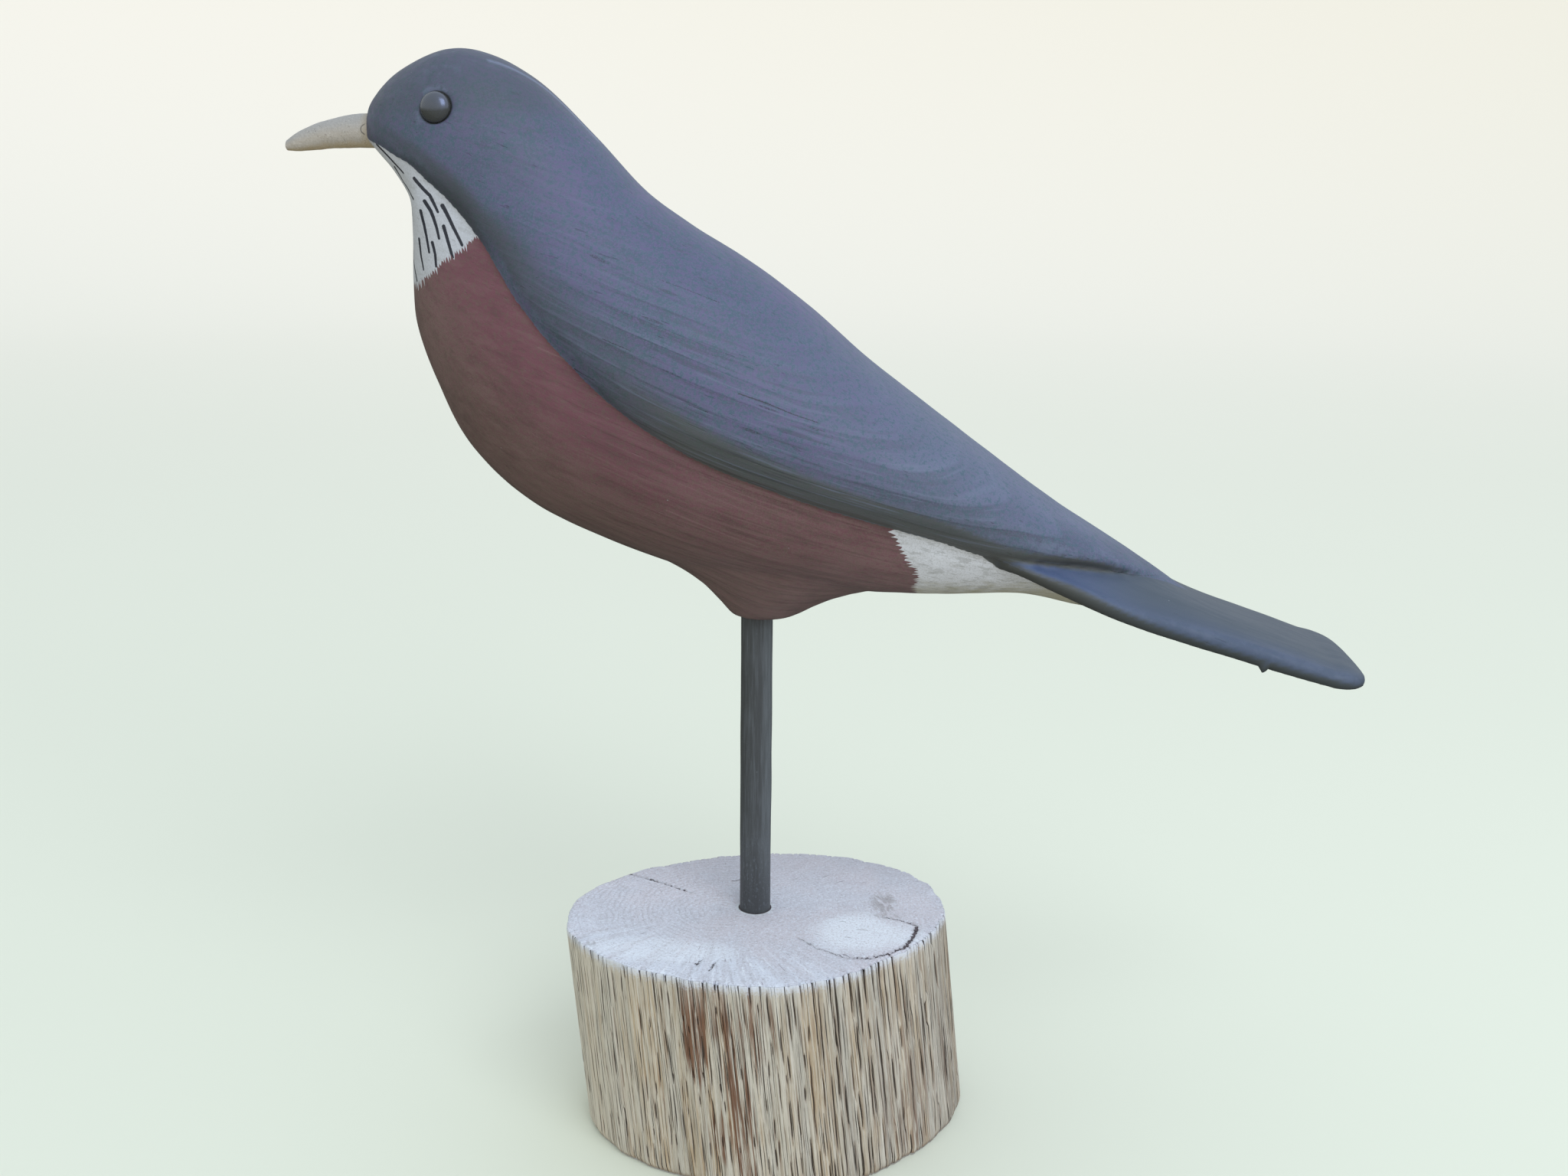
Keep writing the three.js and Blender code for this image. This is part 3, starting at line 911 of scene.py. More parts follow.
    # Painted highlight along the crown, partly rubbed paint.
    crown_wear_and_highlight: tuple[Stroke, ...] = (
        Stroke(((-48.2, -6), (-43.2, -4), (-38.6, -1.9), (-34.6, -0.9), (-30.2, -0.8)), 0.25, 0.6),
    )
    belly_scuffs: tuple[Stroke, ...] = (
        Stroke(((-15.5, 135), (-7, 131.4), (1.1, 128.1)), 0.1, 0.05),
        Stroke(((-38, 164), (-26, 159.4)), 0.04, 0.1),
        Stroke(((10, 141), (22, 136.4)), 0.1, 0.04),
    )
    eye_centre: Point3 = EYE_CENTRE
    eye_gap: float = 3.02
    drip_end: Point3 = (95.3, -16.4, 103.9)

    def dress(self, g: Graph) -> dict[str, Value]:
        """Lays the paints, the strokes and the wear over the grain."""
        place = g.millimetres()
        x, y, z = g.split(place)
        crease, tail = g.carried("crease"), g.carried("tail_side")
        fibre = g.join(g.carried("fibre") * 0.12, y, g.carried("level"))
        dark = g.carried("shade")
        wood = g.use(wood_group(), Ring=g.carried("ring"), Fibre=fibre, Sharpness=g.carried("shown"))
        cloud = g.noise(place, 0.05, 3, 0.6)
        brushed = g.noise(fibre, 0.8, 4, 0.65)
        fine = g.noise(place, 3.4, 3, 0.75)
        mottle = g.noise(place, 1.25, 4, 0.8)
        streaks = g.noise(fibre, 1.5, 3, 0.6)
        swaths = g.noise(fibre, 0.42, 2, 0.5)

        slate = self.coat(g, self.slate, wood, cloud, brushed, fine)
        # Painted light: lighter slate on the rear of the back, and a lighter line along the wing's lip.
        slate = g.mix(g.carried("pale"), slate, self.slate.rubbed)
        slate = g.mix(cloud.ramp(0.44, 0.6) * x.ramp(0, 36, 0.1, 0.4), slate, self.violet)
        slate = g.mix(mottle.ramp(0.5, 0.6) * x.ramp(0, 36, 0.2, 0.65), slate, self.violet)
        slate = g.mix(mottle.ramp(0.5, 0.4, 0.65), slate, self.teal)
        slate = g.mix(tail.ramp(0, 0.3, 0.75), slate, self.indigo)
        # Painted shade on the top and front of the head, stronger higher up.
        slate = g.mix(g.curve(z, self.crown_shade_depth) * x.ramp(-26, -42), slate, self.crown)
        # Painted shade under the wing's rounded edge and beside the throat, lighter by the crease and
        # darker on the neck.
        band = g.mix(crease.ramp(-5, -1), self.shade, self.low_shade)
        band = g.mix(x.ramp(-12, -34), band, self.neck_shade)
        slate = g.mix(dark * 0.8, slate, band)
        # Painted shade on the tail's low rounded edge and under the wing tip.
        slate = g.mix(g.carried("rim"), slate, self.rim)
        red = self.coat(g, self.red, wood, cloud, brushed, fine, 0.9)
        # Painted light: lighter red on the front, rear and lower breast.
        red = g.mix(g.carried("pale"), red, self.red.rubbed)
        wine = crease.ramp(20, 5) * x.ramp(4, -34, 0.75, 0.1)
        red = g.mix(wine, red, self.plum)
        red = g.mix(mottle.ramp(0.5, 0.6, 0.55), red, self.plum)
        red = g.mix(mottle.ramp(0.5, 0.4, 0.5), red, self.umber)
        red = g.mix((crease + brushed * 14).ramp(12, 34, 0.5), red, self.umber)
        red = g.coats(red, (
            (streaks, 0.46, 0.34, 0.16, self.red.thick),
            (swaths, 0.48, 0.36, 0.16, self.red.thick),
            (swaths, 0.52, 0.64, 0.16, self.red.rubbed),
            (streaks, 0.56, 0.68, 0.12, self.red.rubbed),
        ))
        across = g.carried("ring") * 5
        threads = g.noise(g.join(across, g.carried("fibre") * 0.05), 1, 2, 0.55)
        light = threads.ramp(0.55, 0.68) * (g.carried("shown") * 0.42)
        deep = threads.ramp(0.45, 0.33) * (g.carried("shown") * 0.38)
        hind = deep * x.ramp(6, 36, 0.3, 1)
        slate = g.mix(hind, g.mix(light, slate, self.slate.rubbed), self.slate.thick)
        red = g.mix(deep, g.mix(light, red, self.red.rubbed), self.red.thick)
        white = self.coat(g, self.white, wood, cloud, brushed, fine, 0.5)

        wobble = (g.noise(place, 0.5, 3, 0.6) - 0.5) * 0.5
        belly = (crease + wobble).ramp(-0.15, 0.1)
        above_tail = z + wobble - g.curve(x, self.tail_line)
        above_tail = above_tail.ramp(-0.1, 0.1) * (x > 38.2)
        belly = belly * (1 - above_tail)
        throat, stroke = self.throat(g, place, fine)
        under = g.mix(throat, red, g.mix(stroke, white, self.stroke_colour))
        pale = g.mix(1, white, self.vent_tint, "MULTIPLY")
        # Darker, tan white towards the bottom of the undertail.
        ragged_height = z + brushed * 9
        pale = g.coats(pale, (
            (ragged_height, 126.5, 120, 0.85, self.vent_low),
            (fine, 0.46, 0.34, 0.4, self.white.thick),
            (streaks, 0.46, 0.38, 0.45, self.white.thick),
        ))
        under = g.mix(self.vent(g, x, y, z), under, pale)
        colour = g.mix(belly, slate, under)
        tail_wobble = tail + wobble
        slate = g.mix(g.carried("far"), slate, self.far_tail)
        colour = g.mix(tail_wobble.ramp(0, 0.2), colour, slate)

        wear = g.use(wear_group(), Convexity=g.carried("convex"), Place=place, Amount=0.4)[0]
        wear = wear * (1 - g.math("MAXIMUM", dark, g.carried("rim"))) * tail.ramp(-0.4, 0.4, 0.3, 1)
        colour = g.mix(wear, colour, g.mix(belly, self.slate.rubbed, self.red.rubbed))
        # Painted highlight along the crown, partly rubbed paint, in the rubbed slate colour.
        rubbed = self.strokes(g, g.join(x, y), self.crown_wear_and_highlight) + (fine - 0.5) * 1.2
        rubbed = rubbed.ramp(0.7, -0.35, 0.9) * (z > 190)
        colour = g.mix(rubbed, colour, self.slate.rubbed)
        scuffs = self.strokes(g, g.join(x, z), self.belly_scuffs) + (fine - 0.5) * 0.8
        colour = g.mix(scuffs.ramp(0.2, -0.2, 0.7) * belly, colour, self.red.rubbed)
        checks = self.strokes(g, g.join(x, z), self.grain_checks) + (fine - 0.5) * 0.3
        near = y < -4
        check = checks.ramp(0.07, -0.06) * near
        across = g.carried("ring") * 2
        lanes = {"Lane": 1.7, "Length": 4.5, "Share": 0.13, "Width": 0.14}
        dashes = g.use(split_group(), Around=across, Height=g.carried("fibre"), **lanes)
        dashes = dashes["Mask"] * fine.ramp(0.42, 0.55) * x.ramp(-50, -30, 0.75, 0.25) * (1 - dark)
        dashes = dashes * g.carried("shown").ramp(0.1, 0.4)
        colour = g.mix(g.math("MAXIMUM", check, dashes) * 0.75, colour, self.gap_colour)
        specks = g.use(speckle_group(), Place=place, Spacing=3.1, Size=0.17, Share=0.16)[0]
        colour = g.mix(specks * 0.45, colour, (0.42, 0.45, 0.52))
        mirrored = g.join(x, abs(y), z)
        eye = g.vector("DISTANCE", mirrored, self.eye_centre)
        colour = g.mix(eye.ramp(self.eye_gap + 0.2, self.eye_gap - 0.15), colour, self.gap_colour)
        drip = g.vector("DISTANCE", place, self.drip_end)
        colour = g.mix(drip.ramp(1.5, 1.1), colour, self.gap_colour)

        rough = brushed.ramp(0.3, 0.7, 0.62, 0.5) + fine * 0.08 - wear * 0.12
        normal = self.relief(g, wood["Height"] + fine * 0.03 + brushed * 0.06, 0.8)
        return {"Base Color": colour, "Roughness": rough, "Specular IOR Level": 0.42, "Normal": normal}

    def masks(self, points: Array, crease: Array, band: Array,
              tail_side: Array) -> dict[str, Array]:
        """The painting's slow masks at each vertex.

        Args:
            points: Places in millimetres.
            crease: Distance below the wing's edge.
            band: Share of the way down the wing's rounded edge.
            tail_side: Above zero on the tail, below zero on the rest.

        Returns:
            shade, the dark slate and painted shade along the wing's low rounded edge and beside the throat;
            rim, painted shade on the tail's low edge and under the wing tip; shown, how clear the grain is;
            far, the grey of the tail's far side; pale, painted light on the rear of the back and on the
            breast, and a lighter line along the wing's lip.
        """
        x, y, z = points.T
        soft = np.interp(x, (0, 28), (0.19, 0.09))
        # Painted shade under the wing's rounded edge, beside the throat and in a soft zone above them,
        # weaker along the wing's lip.
        under_wing_shade = rise(-1, 1, (band + 0.13) / soft) * read_off(x, self.band_strength)
        reach = np.interp(x, (-62, -48, -38, -22, 0), (5.2, 6.2, 11.5, 16, 12))
        fade = np.interp(x, (-50, -36), (0.38, 0.55))
        cheek_shade = rise(0, 1, (crease + reach) / (fade * reach)) * read_off(x, self.cheek_strength)
        lip_side = rise(-50, -44, x) * rise(-25, -33, x)
        lip = rise(-3.4, -1.4, crease) * lip_side
        soft_shade = 0.35 * rise(-13, -5, crease) * rise(-18, -4, x)
        soft_shade *= rise(60, 40, x)
        wing = np.maximum(np.maximum(under_wing_shade, cheek_shade), soft_shade)
        wing *= rise(0.8, 0.1, tail_side) * (1 - 0.85 * lip)
        above_line = z - read_off(x, self.tail_line)
        # Painted shade on the tail's low rounded edge, and under the wing tip on the tail's root.
        tail_edge_shade = 0.95 * rise(2.2, 1.5, above_line) * rise(43, 46, x)
        root = 0.8 * rise(52, 46, x) * rise(-0.4, 0.4, tail_side)
        on_bird = rise(0.4, -0.4, tail_side)
        shown = 0.1 + 0.9 * rise(-52, -2, x)
        shown *= 0.14 + 0.86 * rise(-29, -13, crease)
        shown *= (0.3 + 0.7 * on_bird) * (0.15 + 0.85 * rise(66, 44, x))
        shown *= 1 - 0.4 * rise(0, 1.5, crease)
        far = 0.9 * rise(-24, -10, y) * rise(52, 76, x)
        # Painted light on the rear of the back and on the front, rear and lower breast.
        back = 0.5 * rise(-15, 40, x) * rise(-8, -18, crease)
        breast = np.maximum(0.65 * rise(-4, 26, x), 0.8 * rise(-46, -60, x))
        breast = np.maximum(breast, 0.45 * rise(14, 30, crease)) * rise(2, 8, crease)
        lip_line = 0.6 * rise(-1.8, -0.8, crease) * rise(0.1, -0.3, crease) * lip_side
        pale = np.maximum(np.maximum(back, breast) * on_bird, lip_line)
        return {"shade": wing, "rim": np.maximum(tail_edge_shade, root), "shown": shown, "far": far, "pale": pale}

    @staticmethod
    def coat(g: Graph, paint: Paint, wood: Added, cloud: Value, brushed: Value, fine: Value,
             grain: float = 1.0) -> Signal:
        """Colour of one paint with its clouds, brush marks and the grain under it.

        Args:
            g: The material's graph.
            paint: The paint's colours.
            wood: Node of the grain group.
            cloud: Slow noise.
            brushed: Noise along the grain.
            fine: Fine noise.
            grain: How much of the grain shows.

        Returns:
            The colour.
        """
        colour = g.mix(cloud.ramp(0.4, 0.7, 0.25), paint.laid, paint.rubbed)
        colour = g.mix(brushed.ramp(0.52, 0.75, 0.3), colour, paint.rubbed)
        colour = g.mix(brushed.ramp(0.46, 0.28, 0.4), colour, paint.thick)
        colour = g.mix(wood["Pale"] * (0.7 * grain), colour, paint.rubbed)
        colour = g.mix(wood["Line"] * (0.8 * grain), colour, paint.thick)
        colour = g.mix(wood["Pores"] * (0.6 * grain), colour, paint.thick)
        colour = g.mix(fine.ramp(0.46, 0.32, 0.3), colour, paint.thick)
        return g.mix(fine.ramp(0.46, 0.66, 0.42), colour, paint.rubbed)

    def throat(self, g: Graph, place: Value, fine: Value) -> tuple[Signal, Signal]:
        """White throat with a ragged lower edge and dark strokes, the same on both sides.

        Args:
            g: The material's graph.
            place: Place in millimetres.
            fine: Fine noise.

        Returns:
            The masks of the white and of the strokes.
        """
        x, y, z = g.split(place)
        forward = self.throat_axis - x
        turn = g.math("ARCTAN2", abs(y), forward)
        around = turn * self.throat_radius
        edge = g.curve(g.math("DEGREES", turn), self.throat_edge)
        slant = (z - 179) * (turn * 0.32)
        teeth = self.teeth(g, around + slant, 0.65, 1.6)
        white = (z + teeth - edge).ramp(-0.08, 0.08)
        nearest = self.strokes(g, g.join(around, z), self.throat_strokes)
        ragged = (fine - 0.5) * 0.12
        return white, (nearest + ragged).ramp(0.12, 0)

    def vent(self, g: Graph, x: Value, y: Value, z: Value) -> Signal:
        """Pale patch under the tail, with a ragged front edge.

        Args:
            g: The material's graph.
            x: Place along the bird.
            y: Place across the bird.
            z: Height.

        Returns:
            The mask.
        """
        edge = g.curve(z, self.vent_edge)
        turn = g.math("ARCTAN2", y, 124 - z)
        teeth = self.teeth(g, turn * 13, 0.5, 1.3)
        return (x + teeth - edge).ramp(0.35, 0.5)

    @staticmethod
    def teeth(g: Graph, along: Value, spacing: float, reach: float) -> Signal:
        """Uneven pointed teeth left by the tips of a brush.

        Args:
            g: The material's graph.
            along: Place along the edge.
            spacing: Width of a tooth.
            reach: Length of the longest tooth.

        Returns:
            The tooth's length at each place.
        """
        step = along / spacing
        wavy = step + g.noise(g.join(step, 0), 0.6, 1) * 1.6
        chance = g.chance(g.math("FLOOR", wavy))
        off_middle = abs(g.math("FRACT", wavy) - 0.5)
        point = 1 - off_middle * 1.7
        length = (chance + 0.35) * point
        return (length - 0.3) * reach


@dataclass
class CarvedBody:
    """The bird: head, breast, wings, tail and boss carved from one block."""

    stations: tuple[Station, ...] = (
        Station((-72.6, 202.4), (-72.2, 199.2), 2.4, 2, 0.86, 0.05, 0.2),
        Station((-71, 206.4), (-69.4, 196.2), 6.4, 2.1, 0.75, 0.3, 0.6),
        Station((-65.6, 211.5), (-66.2, 192.6), 10.6, 2.3, 0.755, 0.7, 1.2),
        Station((-57, 215.3), (-63.4, 187.2), 14.2, 2.4, 0.72, 1.1, 1.7),
        Station((-49, 214.4), (-63.7, 180.6), 15.8, 2.4, 0.646, 1.4, 2.2),
        Station((-40, 209.4), (-64.5, 173), 16.8, 2.3, 0.571, 1.7, 2.8),
        Station((-30, 199.8), (-64.2, 165.4), 19, 2.2, 0.528, 2, 3.2),
        Station((-21.5, 190.8), (-60.8, 155), 22, 2.15, 0.519, 2.4, 3.8),
        Station((-12.5, 184.5), (-54.8, 143), 24.8, 2.15, 0.512, 2.9, 4.6),
        Station((-1.8, 178.1), (-43.8, 132.6), 26.4, 2.15, 0.533, 3.3, 5.4),
        Station((9.8, 169.6), (-28.6, 125.2), 26.8, 2.15, 0.545, 3.5, 5.8),
        Station((21.5, 159.7), (-12.6, 119.7), 25.8, 2.15, 0.515, 3.4, 5.2),
        Station((33.4, 150.7), (3.2, 117.2), 23.8, 2.15, 0.492, 3.2, 4.6),
        Station((45.3, 142), (19, 116), 20.8, 2.15, 0.469, 2.9, 4.2),
        Station((57.5, 133.3), (35, 115.6), 17.4, 2.15, 0.447, 2.4, 3.2),
        Station((69.7, 125.6), (50, 115.9), 12, 2.2, 0.205, 0.75, 1),
        Station((77.6, 120.7), (62.5, 113.3), 5.8, 2, 0.14, 0.25, 0.4),
        Station((84.5, 115.9), (74.5, 111.2), 2.2, 2, 0.3, 0.1, 0.3),
    )
    rings_per_station: int = 12
    back_points: int = 30
    roll_points: int = 8
    belly_points: int = 26
    roll_squareness: float = 1.6
    belly_squareness: float = 2.1

    tail_stations: tuple[TailStation, ...] = (
        TailStation(30, 127, 8, 3.4, 1),
        TailStation(38, 127, 12.5, 3.4, 1.4),
        TailStation(47, 124.9, 16.6, 2.8, 1.8),
        TailStation(57, 120.8, 16.8, 3.4, 4.9),
        TailStation(70, 115.5, 16.8, 4, 5.9),
        TailStation(86, 110.7, 16.8, 4.4, 2.6),
        TailStation(102, 105.9, 16.6, 4, 1.6),
        TailStation(109.4, 103.6, 16.2, 3.5, 1.4),
    )
    tail_end_length: float = 6.5
    tail_end_rounding: float = 0.9
    tail_end_squareness: float = 2.1
    tail_end_thinning: float = 0.45
    tail_end_slope: float = 0.5
    tail_far_extra: float = 0.5
    tail_under_crown: float = 0.5
    tail_crown_power: float = 2.7
    tail_rings_per_station: int = 6
    tail_end_rings: int = 14
    tail_rim_points: int = 12
    tail_face_points: int = 24

    boss_centre_x: float = 1.4
    boss_bottom: float = 110.3
    boss_foot_radius: float = 6.0
    boss_core_radius: float = 5.0
    boss_narrowing: float = 0.6
    boss_flare: float = 7.0
    boss_flare_lean: float = 1.6
    boss_flare_power: float = 1.3
    boss_reach: float = 24.0
    boss_reach_power: float = 6.0
    boss_rooting: float = 0.45
    boss_root_height: float = 128.0
    boss_sides: int = 90
    boss_steps: int = 40
    boss_first_step: float = 1 / 9

    skin_size: float = 0.65
    grain_slope: float = 21.0
    ring_centre: Point2 = (30, 38)
    ring_spacing: float = 2.45
    eye_centre: Point3 = EYE_CENTRE
    eye_seat_radius: float = 2.78
    eye_seat_depth: float = 0.5
    drip: Point3 = (95.3, -16.4, 106.4)
    noise: SmoothNoise = SmoothNoise(11)

    def build(self) -> None:
        """Carves the body, dresses it and puts it in place of its plain solid."""
        trunk = self.trunk()
        tail = self.tail()
        trunk_probe, tail_probe = Probe(trunk), Probe(tail)
        mesh = one_skin([trunk, tail, self.boss(trunk_probe)], self.skin_size)
        pairs = read(mesh.edges, "vertices", 2, np.int32)
        points = relaxed(coordinates(mesh), pairs, (0.5, -0.53) * 6)
        place_vertices(mesh, points)
        from_trunk, carried = trunk_probe.nearest(points)
        from_tail, _ = tail_probe.nearest(points)
        crease, ridge = carried.T
        tail_side = from_trunk - from_tail
        ring, fibre, level = self.grain(points)
        band = np.clip(ridge / (ridge - crease).clip(0.05), -1, 2)
        paint = RobinPaint()
        masks = paint.masks(points, crease, band, tail_side)
        carry(mesh, **masks)
        points = self.relief(points, normals(mesh), crease, from_trunk, masks["shown"], ring, fibre, level)
        place_vertices(mesh, points)
        carry(mesh, crease=crease, tail_side=tail_side, ring=ring, fibre=fibre, level=level)
        carry(mesh, convex=self.convexity(mesh, pairs))
        install("carved_body", mesh, paint, "body")

    def trunk(self) -> Shell:
        """Head, breast, belly and wings; its points carry how far they are below edge and ridge."""
        rows = along_stations(self.stations, self.rings_per_station)
        back_x, back_z, belly_x, belly_z, half, top, edge, step, roll = rows.T[:, :, None]
        depth = np.hypot(belly_x - back_x, belly_z - back_z)
        widest = edge - roll / depth
        along, out = quarter(np.linspace(0, 1, self.back_points + 1)[None, :], top)
        down_parts, out_parts = [widest * (1 - along)], [half * out]
        out, along = quarter(np.linspace(0, 1, self.roll_points + 1)[None, 1:], self.roll_squareness)
        down_parts.append(widest + (edge - widest) * along)
        out_parts.append(half - step * (1 - out))
        out, along = quarter(np.linspace(0, 1, self.belly_points + 1)[None, 1:], self.belly_squareness)
        down_parts.append(edge + (1 - edge) * along)
        out_parts.append((half - step) * out)
        down, out = np.hstack(down_parts), np.hstack(out_parts)
        x = back_x + (belly_x - back_x) * down
        z = back_z + (belly_z - back_z) * down
        near = np.stack([x, -out, z], axis=-1)
        near[:, [0, -1], 1] = 0
        far = near[:, -2:0:-1] * np.array([1, -1, 1])
        length = np.linalg.norm(np.diff(near, axis=1), axis=2)
        travelled = np.hstack([np.zeros((len(rows), 1)), np.cumsum(length, axis=1)])
        marks = travelled[:, [self.back_points + self.roll_points, self.back_points]]
        places = travelled[..., None] - marks[:, None]
        return Shell(np.hstack([near, far]), np.hstack([places, places[:, -2:0:-1]]))

    def tail(self) -> Shell:
        """The tail: a flat paddle with a crowned top, rounded rims and a thinned end."""
        rows = along_stations(self.tail_stations, self.tail_rings_per_station)
        corner, hind = self.tail_stations[-1], self.tail_stations[-2]
        slope = (corner.rim - hind.rim) / (corner.x - hind.x)
        shares = np.arange(1, self.tail_end_rings + 1) / self.tail_end_rings
        along, out = quarter(shares, self.tail_end_squareness)
        reach = self.tail_end_length * out
        narrow = self.tail_end_length * self.tail_end_rounding * (1 - along)
        thick = corner.thick * (1 - self.tail_end_thinning * out**3)
        rim = corner.rim + slope * self.tail_end_slope * reach
        end = np.transpose([corner.x + reach, rim, corner.half - narrow, thick, corner.crown * along])
        return Shell(np.array([self.tail_ring(row) for row in np.vstack([rows, end])]))

    def tail_ring(self, row: Array) -> Array:
        """One ring of the tail from a row of its station values.

        Args:
            row: Values of a tail station.

        Returns:
            The ring's points.
        """
        x, rim, half, thick, crown = row
        round_off = min(thick / 2, half)
        flat = half - round_off
        across = 2 * np.arange(self.tail_face_points) / self.tail_face_points - 1
        angle = math.pi * np.arange(self.tail_rim_points) / self.tail_rim_points
        swell = crown * (1 - np.abs(across) ** self.tail_crown_power)
        top = np.stack([flat * across, rim + round_off + swell])
        right = np.stack([flat + round_off * np.sin(angle), rim + round_off * np.cos(angle)])
        under = np.stack([-flat * across, rim - round_off - self.tail_under_crown * (1 - across**2)])
        left = np.stack([-flat - round_off * np.sin(angle), rim - round_off * np.cos(angle)])
        y, z = np.hstack([top, right, under, left])
        y = np.where(y > 0, y * (1 + self.tail_far_extra * float(rise(84, 106, x)) / half), y)
        return np.stack([np.full_like(y, x), y, z], axis=1)

    def boss(self, trunk: Probe) -> Shell:
        """The boss under the belly: a flat foot that flares out until it meets the belly.

        Args:
            trunk: Probe of the trunk above it.

        Returns:
            The boss's shell.
        """
        angles = full_turn(self.boss_sides)
        rings = []
        for share in np.linspace(0, 1, self.boss_steps + 1):
            radius = self.boss_core_radius + (self.boss_reach - self.boss_core_radius) * share
            late = max(0, share - self.boss_first_step) / (1 - self.boss_first_step)
            narrow = 1 + (self.boss_narrowing - 1) * late
            x = self.boss_centre_x + radius * np.cos(angles)
            y = narrow * radius * np.sin(angles)
            belly = np.array([trunk.above(*place) for place in zip(x, y)])
            belly += self.boss_rooting * (radius / self.boss_reach) ** 3
            down = self.boss_share(radius, angles)
            rings.append(np.stack([x, y, belly + (self.boss_bottom - belly) * down], axis=1))
        root = rings[0].copy()
        root[:, 2] = self.boss_root_height
        return Shell(np.array([*rings, root]))

    def boss_share(self, radius: float, angles: Array) -> Array:
        """How much of the way from the belly to the foot the boss reaches at a radius.

        Args:
            radius: Distance from the boss's middle.
            angles: Angles round it.

        Returns:
            A share for each angle.
        """
        if radius <= self.boss_foot_radius:
            return np.ones_like(angles)
        length = self.boss_flare + self.boss_flare_lean * np.cos(angles)
        flare = np.exp(-(((radius - self.boss_foot_radius) / length) ** self.boss_flare_power))
        return flare * (1 - (radius / self.boss_reach) ** self.boss_reach_power)

    def grain(self, points: Array) -> tuple[Array, Array, Array]:
        """Place of each point in the block of wood.

        Args:
            points: Places in millimetres.

        Returns:
            The growth ring's number, the place along the fibres and the height across them.
        """
        slope = math.radians(self.grain_slope)
        fibre = points[:, 0] * math.cos(slope) - points[:, 2] * math.sin(slope)
        level = points[:, 0] * math.sin(slope) + points[:, 2] * math.cos(slope)
        stretched = np.stack([fibre / 7, points[:, 1], level], axis=1)
        bend = 1.5 * self.noise.at(stretched, 16) + 0.45 * self.noise.at(stretched, 5)
        radius = np.hypot(points[:, 1] - self.ring_centre[0], level - self.ring_centre[1])
        return (radius + bend) / self.ring_spacing, fibre, level

    def relief(self, points: Array, outward: Array, crease: Array, from_trunk: Array,
               shown: Array, ring: Array, fibre: Array, level: Array) -> Array:
        """Adds what the knife, the sandpaper and the drying wood have left.

        Args:
            points: Places in millimetres.
            outward: Directions out of the surface.
            crease: Distance below the wing's edge.
            from_trunk: Distance from the trunk's own surface.
            shown: How clear the grain is.
            ring: Growth ring's number.
            fibre: Place along the fibres.
            level: Height across the fibres.

        Returns:
            The moved places.
        """
        year = np.mod(ring, 1)
        ridge = rise(1, 0.25, year) * rise(0, 0.22, year)
        stretched = np.stack([fibre / 6, points[:, 1], level], axis=1)
        patchy = 0.55 + 0.45 * self.noise.at(stretched, 11)
        height = 0.15 * ridge * patchy * shown
        height += 0.1 * self.noise.at(points, 17) + 0.04 * self.noise.at(points, 6)
        on_trunk = rise(0.9, 0.3, from_trunk)
        line = np.exp(-((crease / 0.55) ** 2)) * rise(-70, -58, points[:, 0])
        deep = rise(58, 46, points[:, 0]) * (0.3 + 0.7 * rise(-26, -8, points[:, 0]))
        height -= 0.3 * line * on_trunk * deep
        mirrored = points * [1, 0, 1] + np.abs(points[:, 1])[:, None] * [0, 1, 0]
        to_eye = np.linalg.norm(mirrored - np.array(self.eye_centre), axis=1)
        seat = self.eye_seat_radius
        height -= self.eye_seat_depth * rise(seat + 0.5, seat - 0.3, to_eye)
        moved = points + height[:, None] * outward
        to_drip = np.linalg.norm(points - np.array(self.drip), axis=1)
        moved[:, 2] -= 1.3 * rise(1.05, 0.4, to_drip)
        return moved

    @staticmethod
    def convexity(mesh: Mesh, pairs: Array) -> Array:
        """How far each vertex stands out of the smoothed surface, from 0 to 1.

        Args:
            mesh: The carved mesh.
            pairs: Vertex numbers of its edges.

        Returns:
            One value for each vertex.
        """
        points = coordinates(mesh)
        flat = relaxed(points, pairs, (0.5,) * 14)
        out = np.einsum("ij,ij->i", points - flat, normals(mesh))
        return np.clip(out / 0.16, 0, 1)


# Bill and eyes.


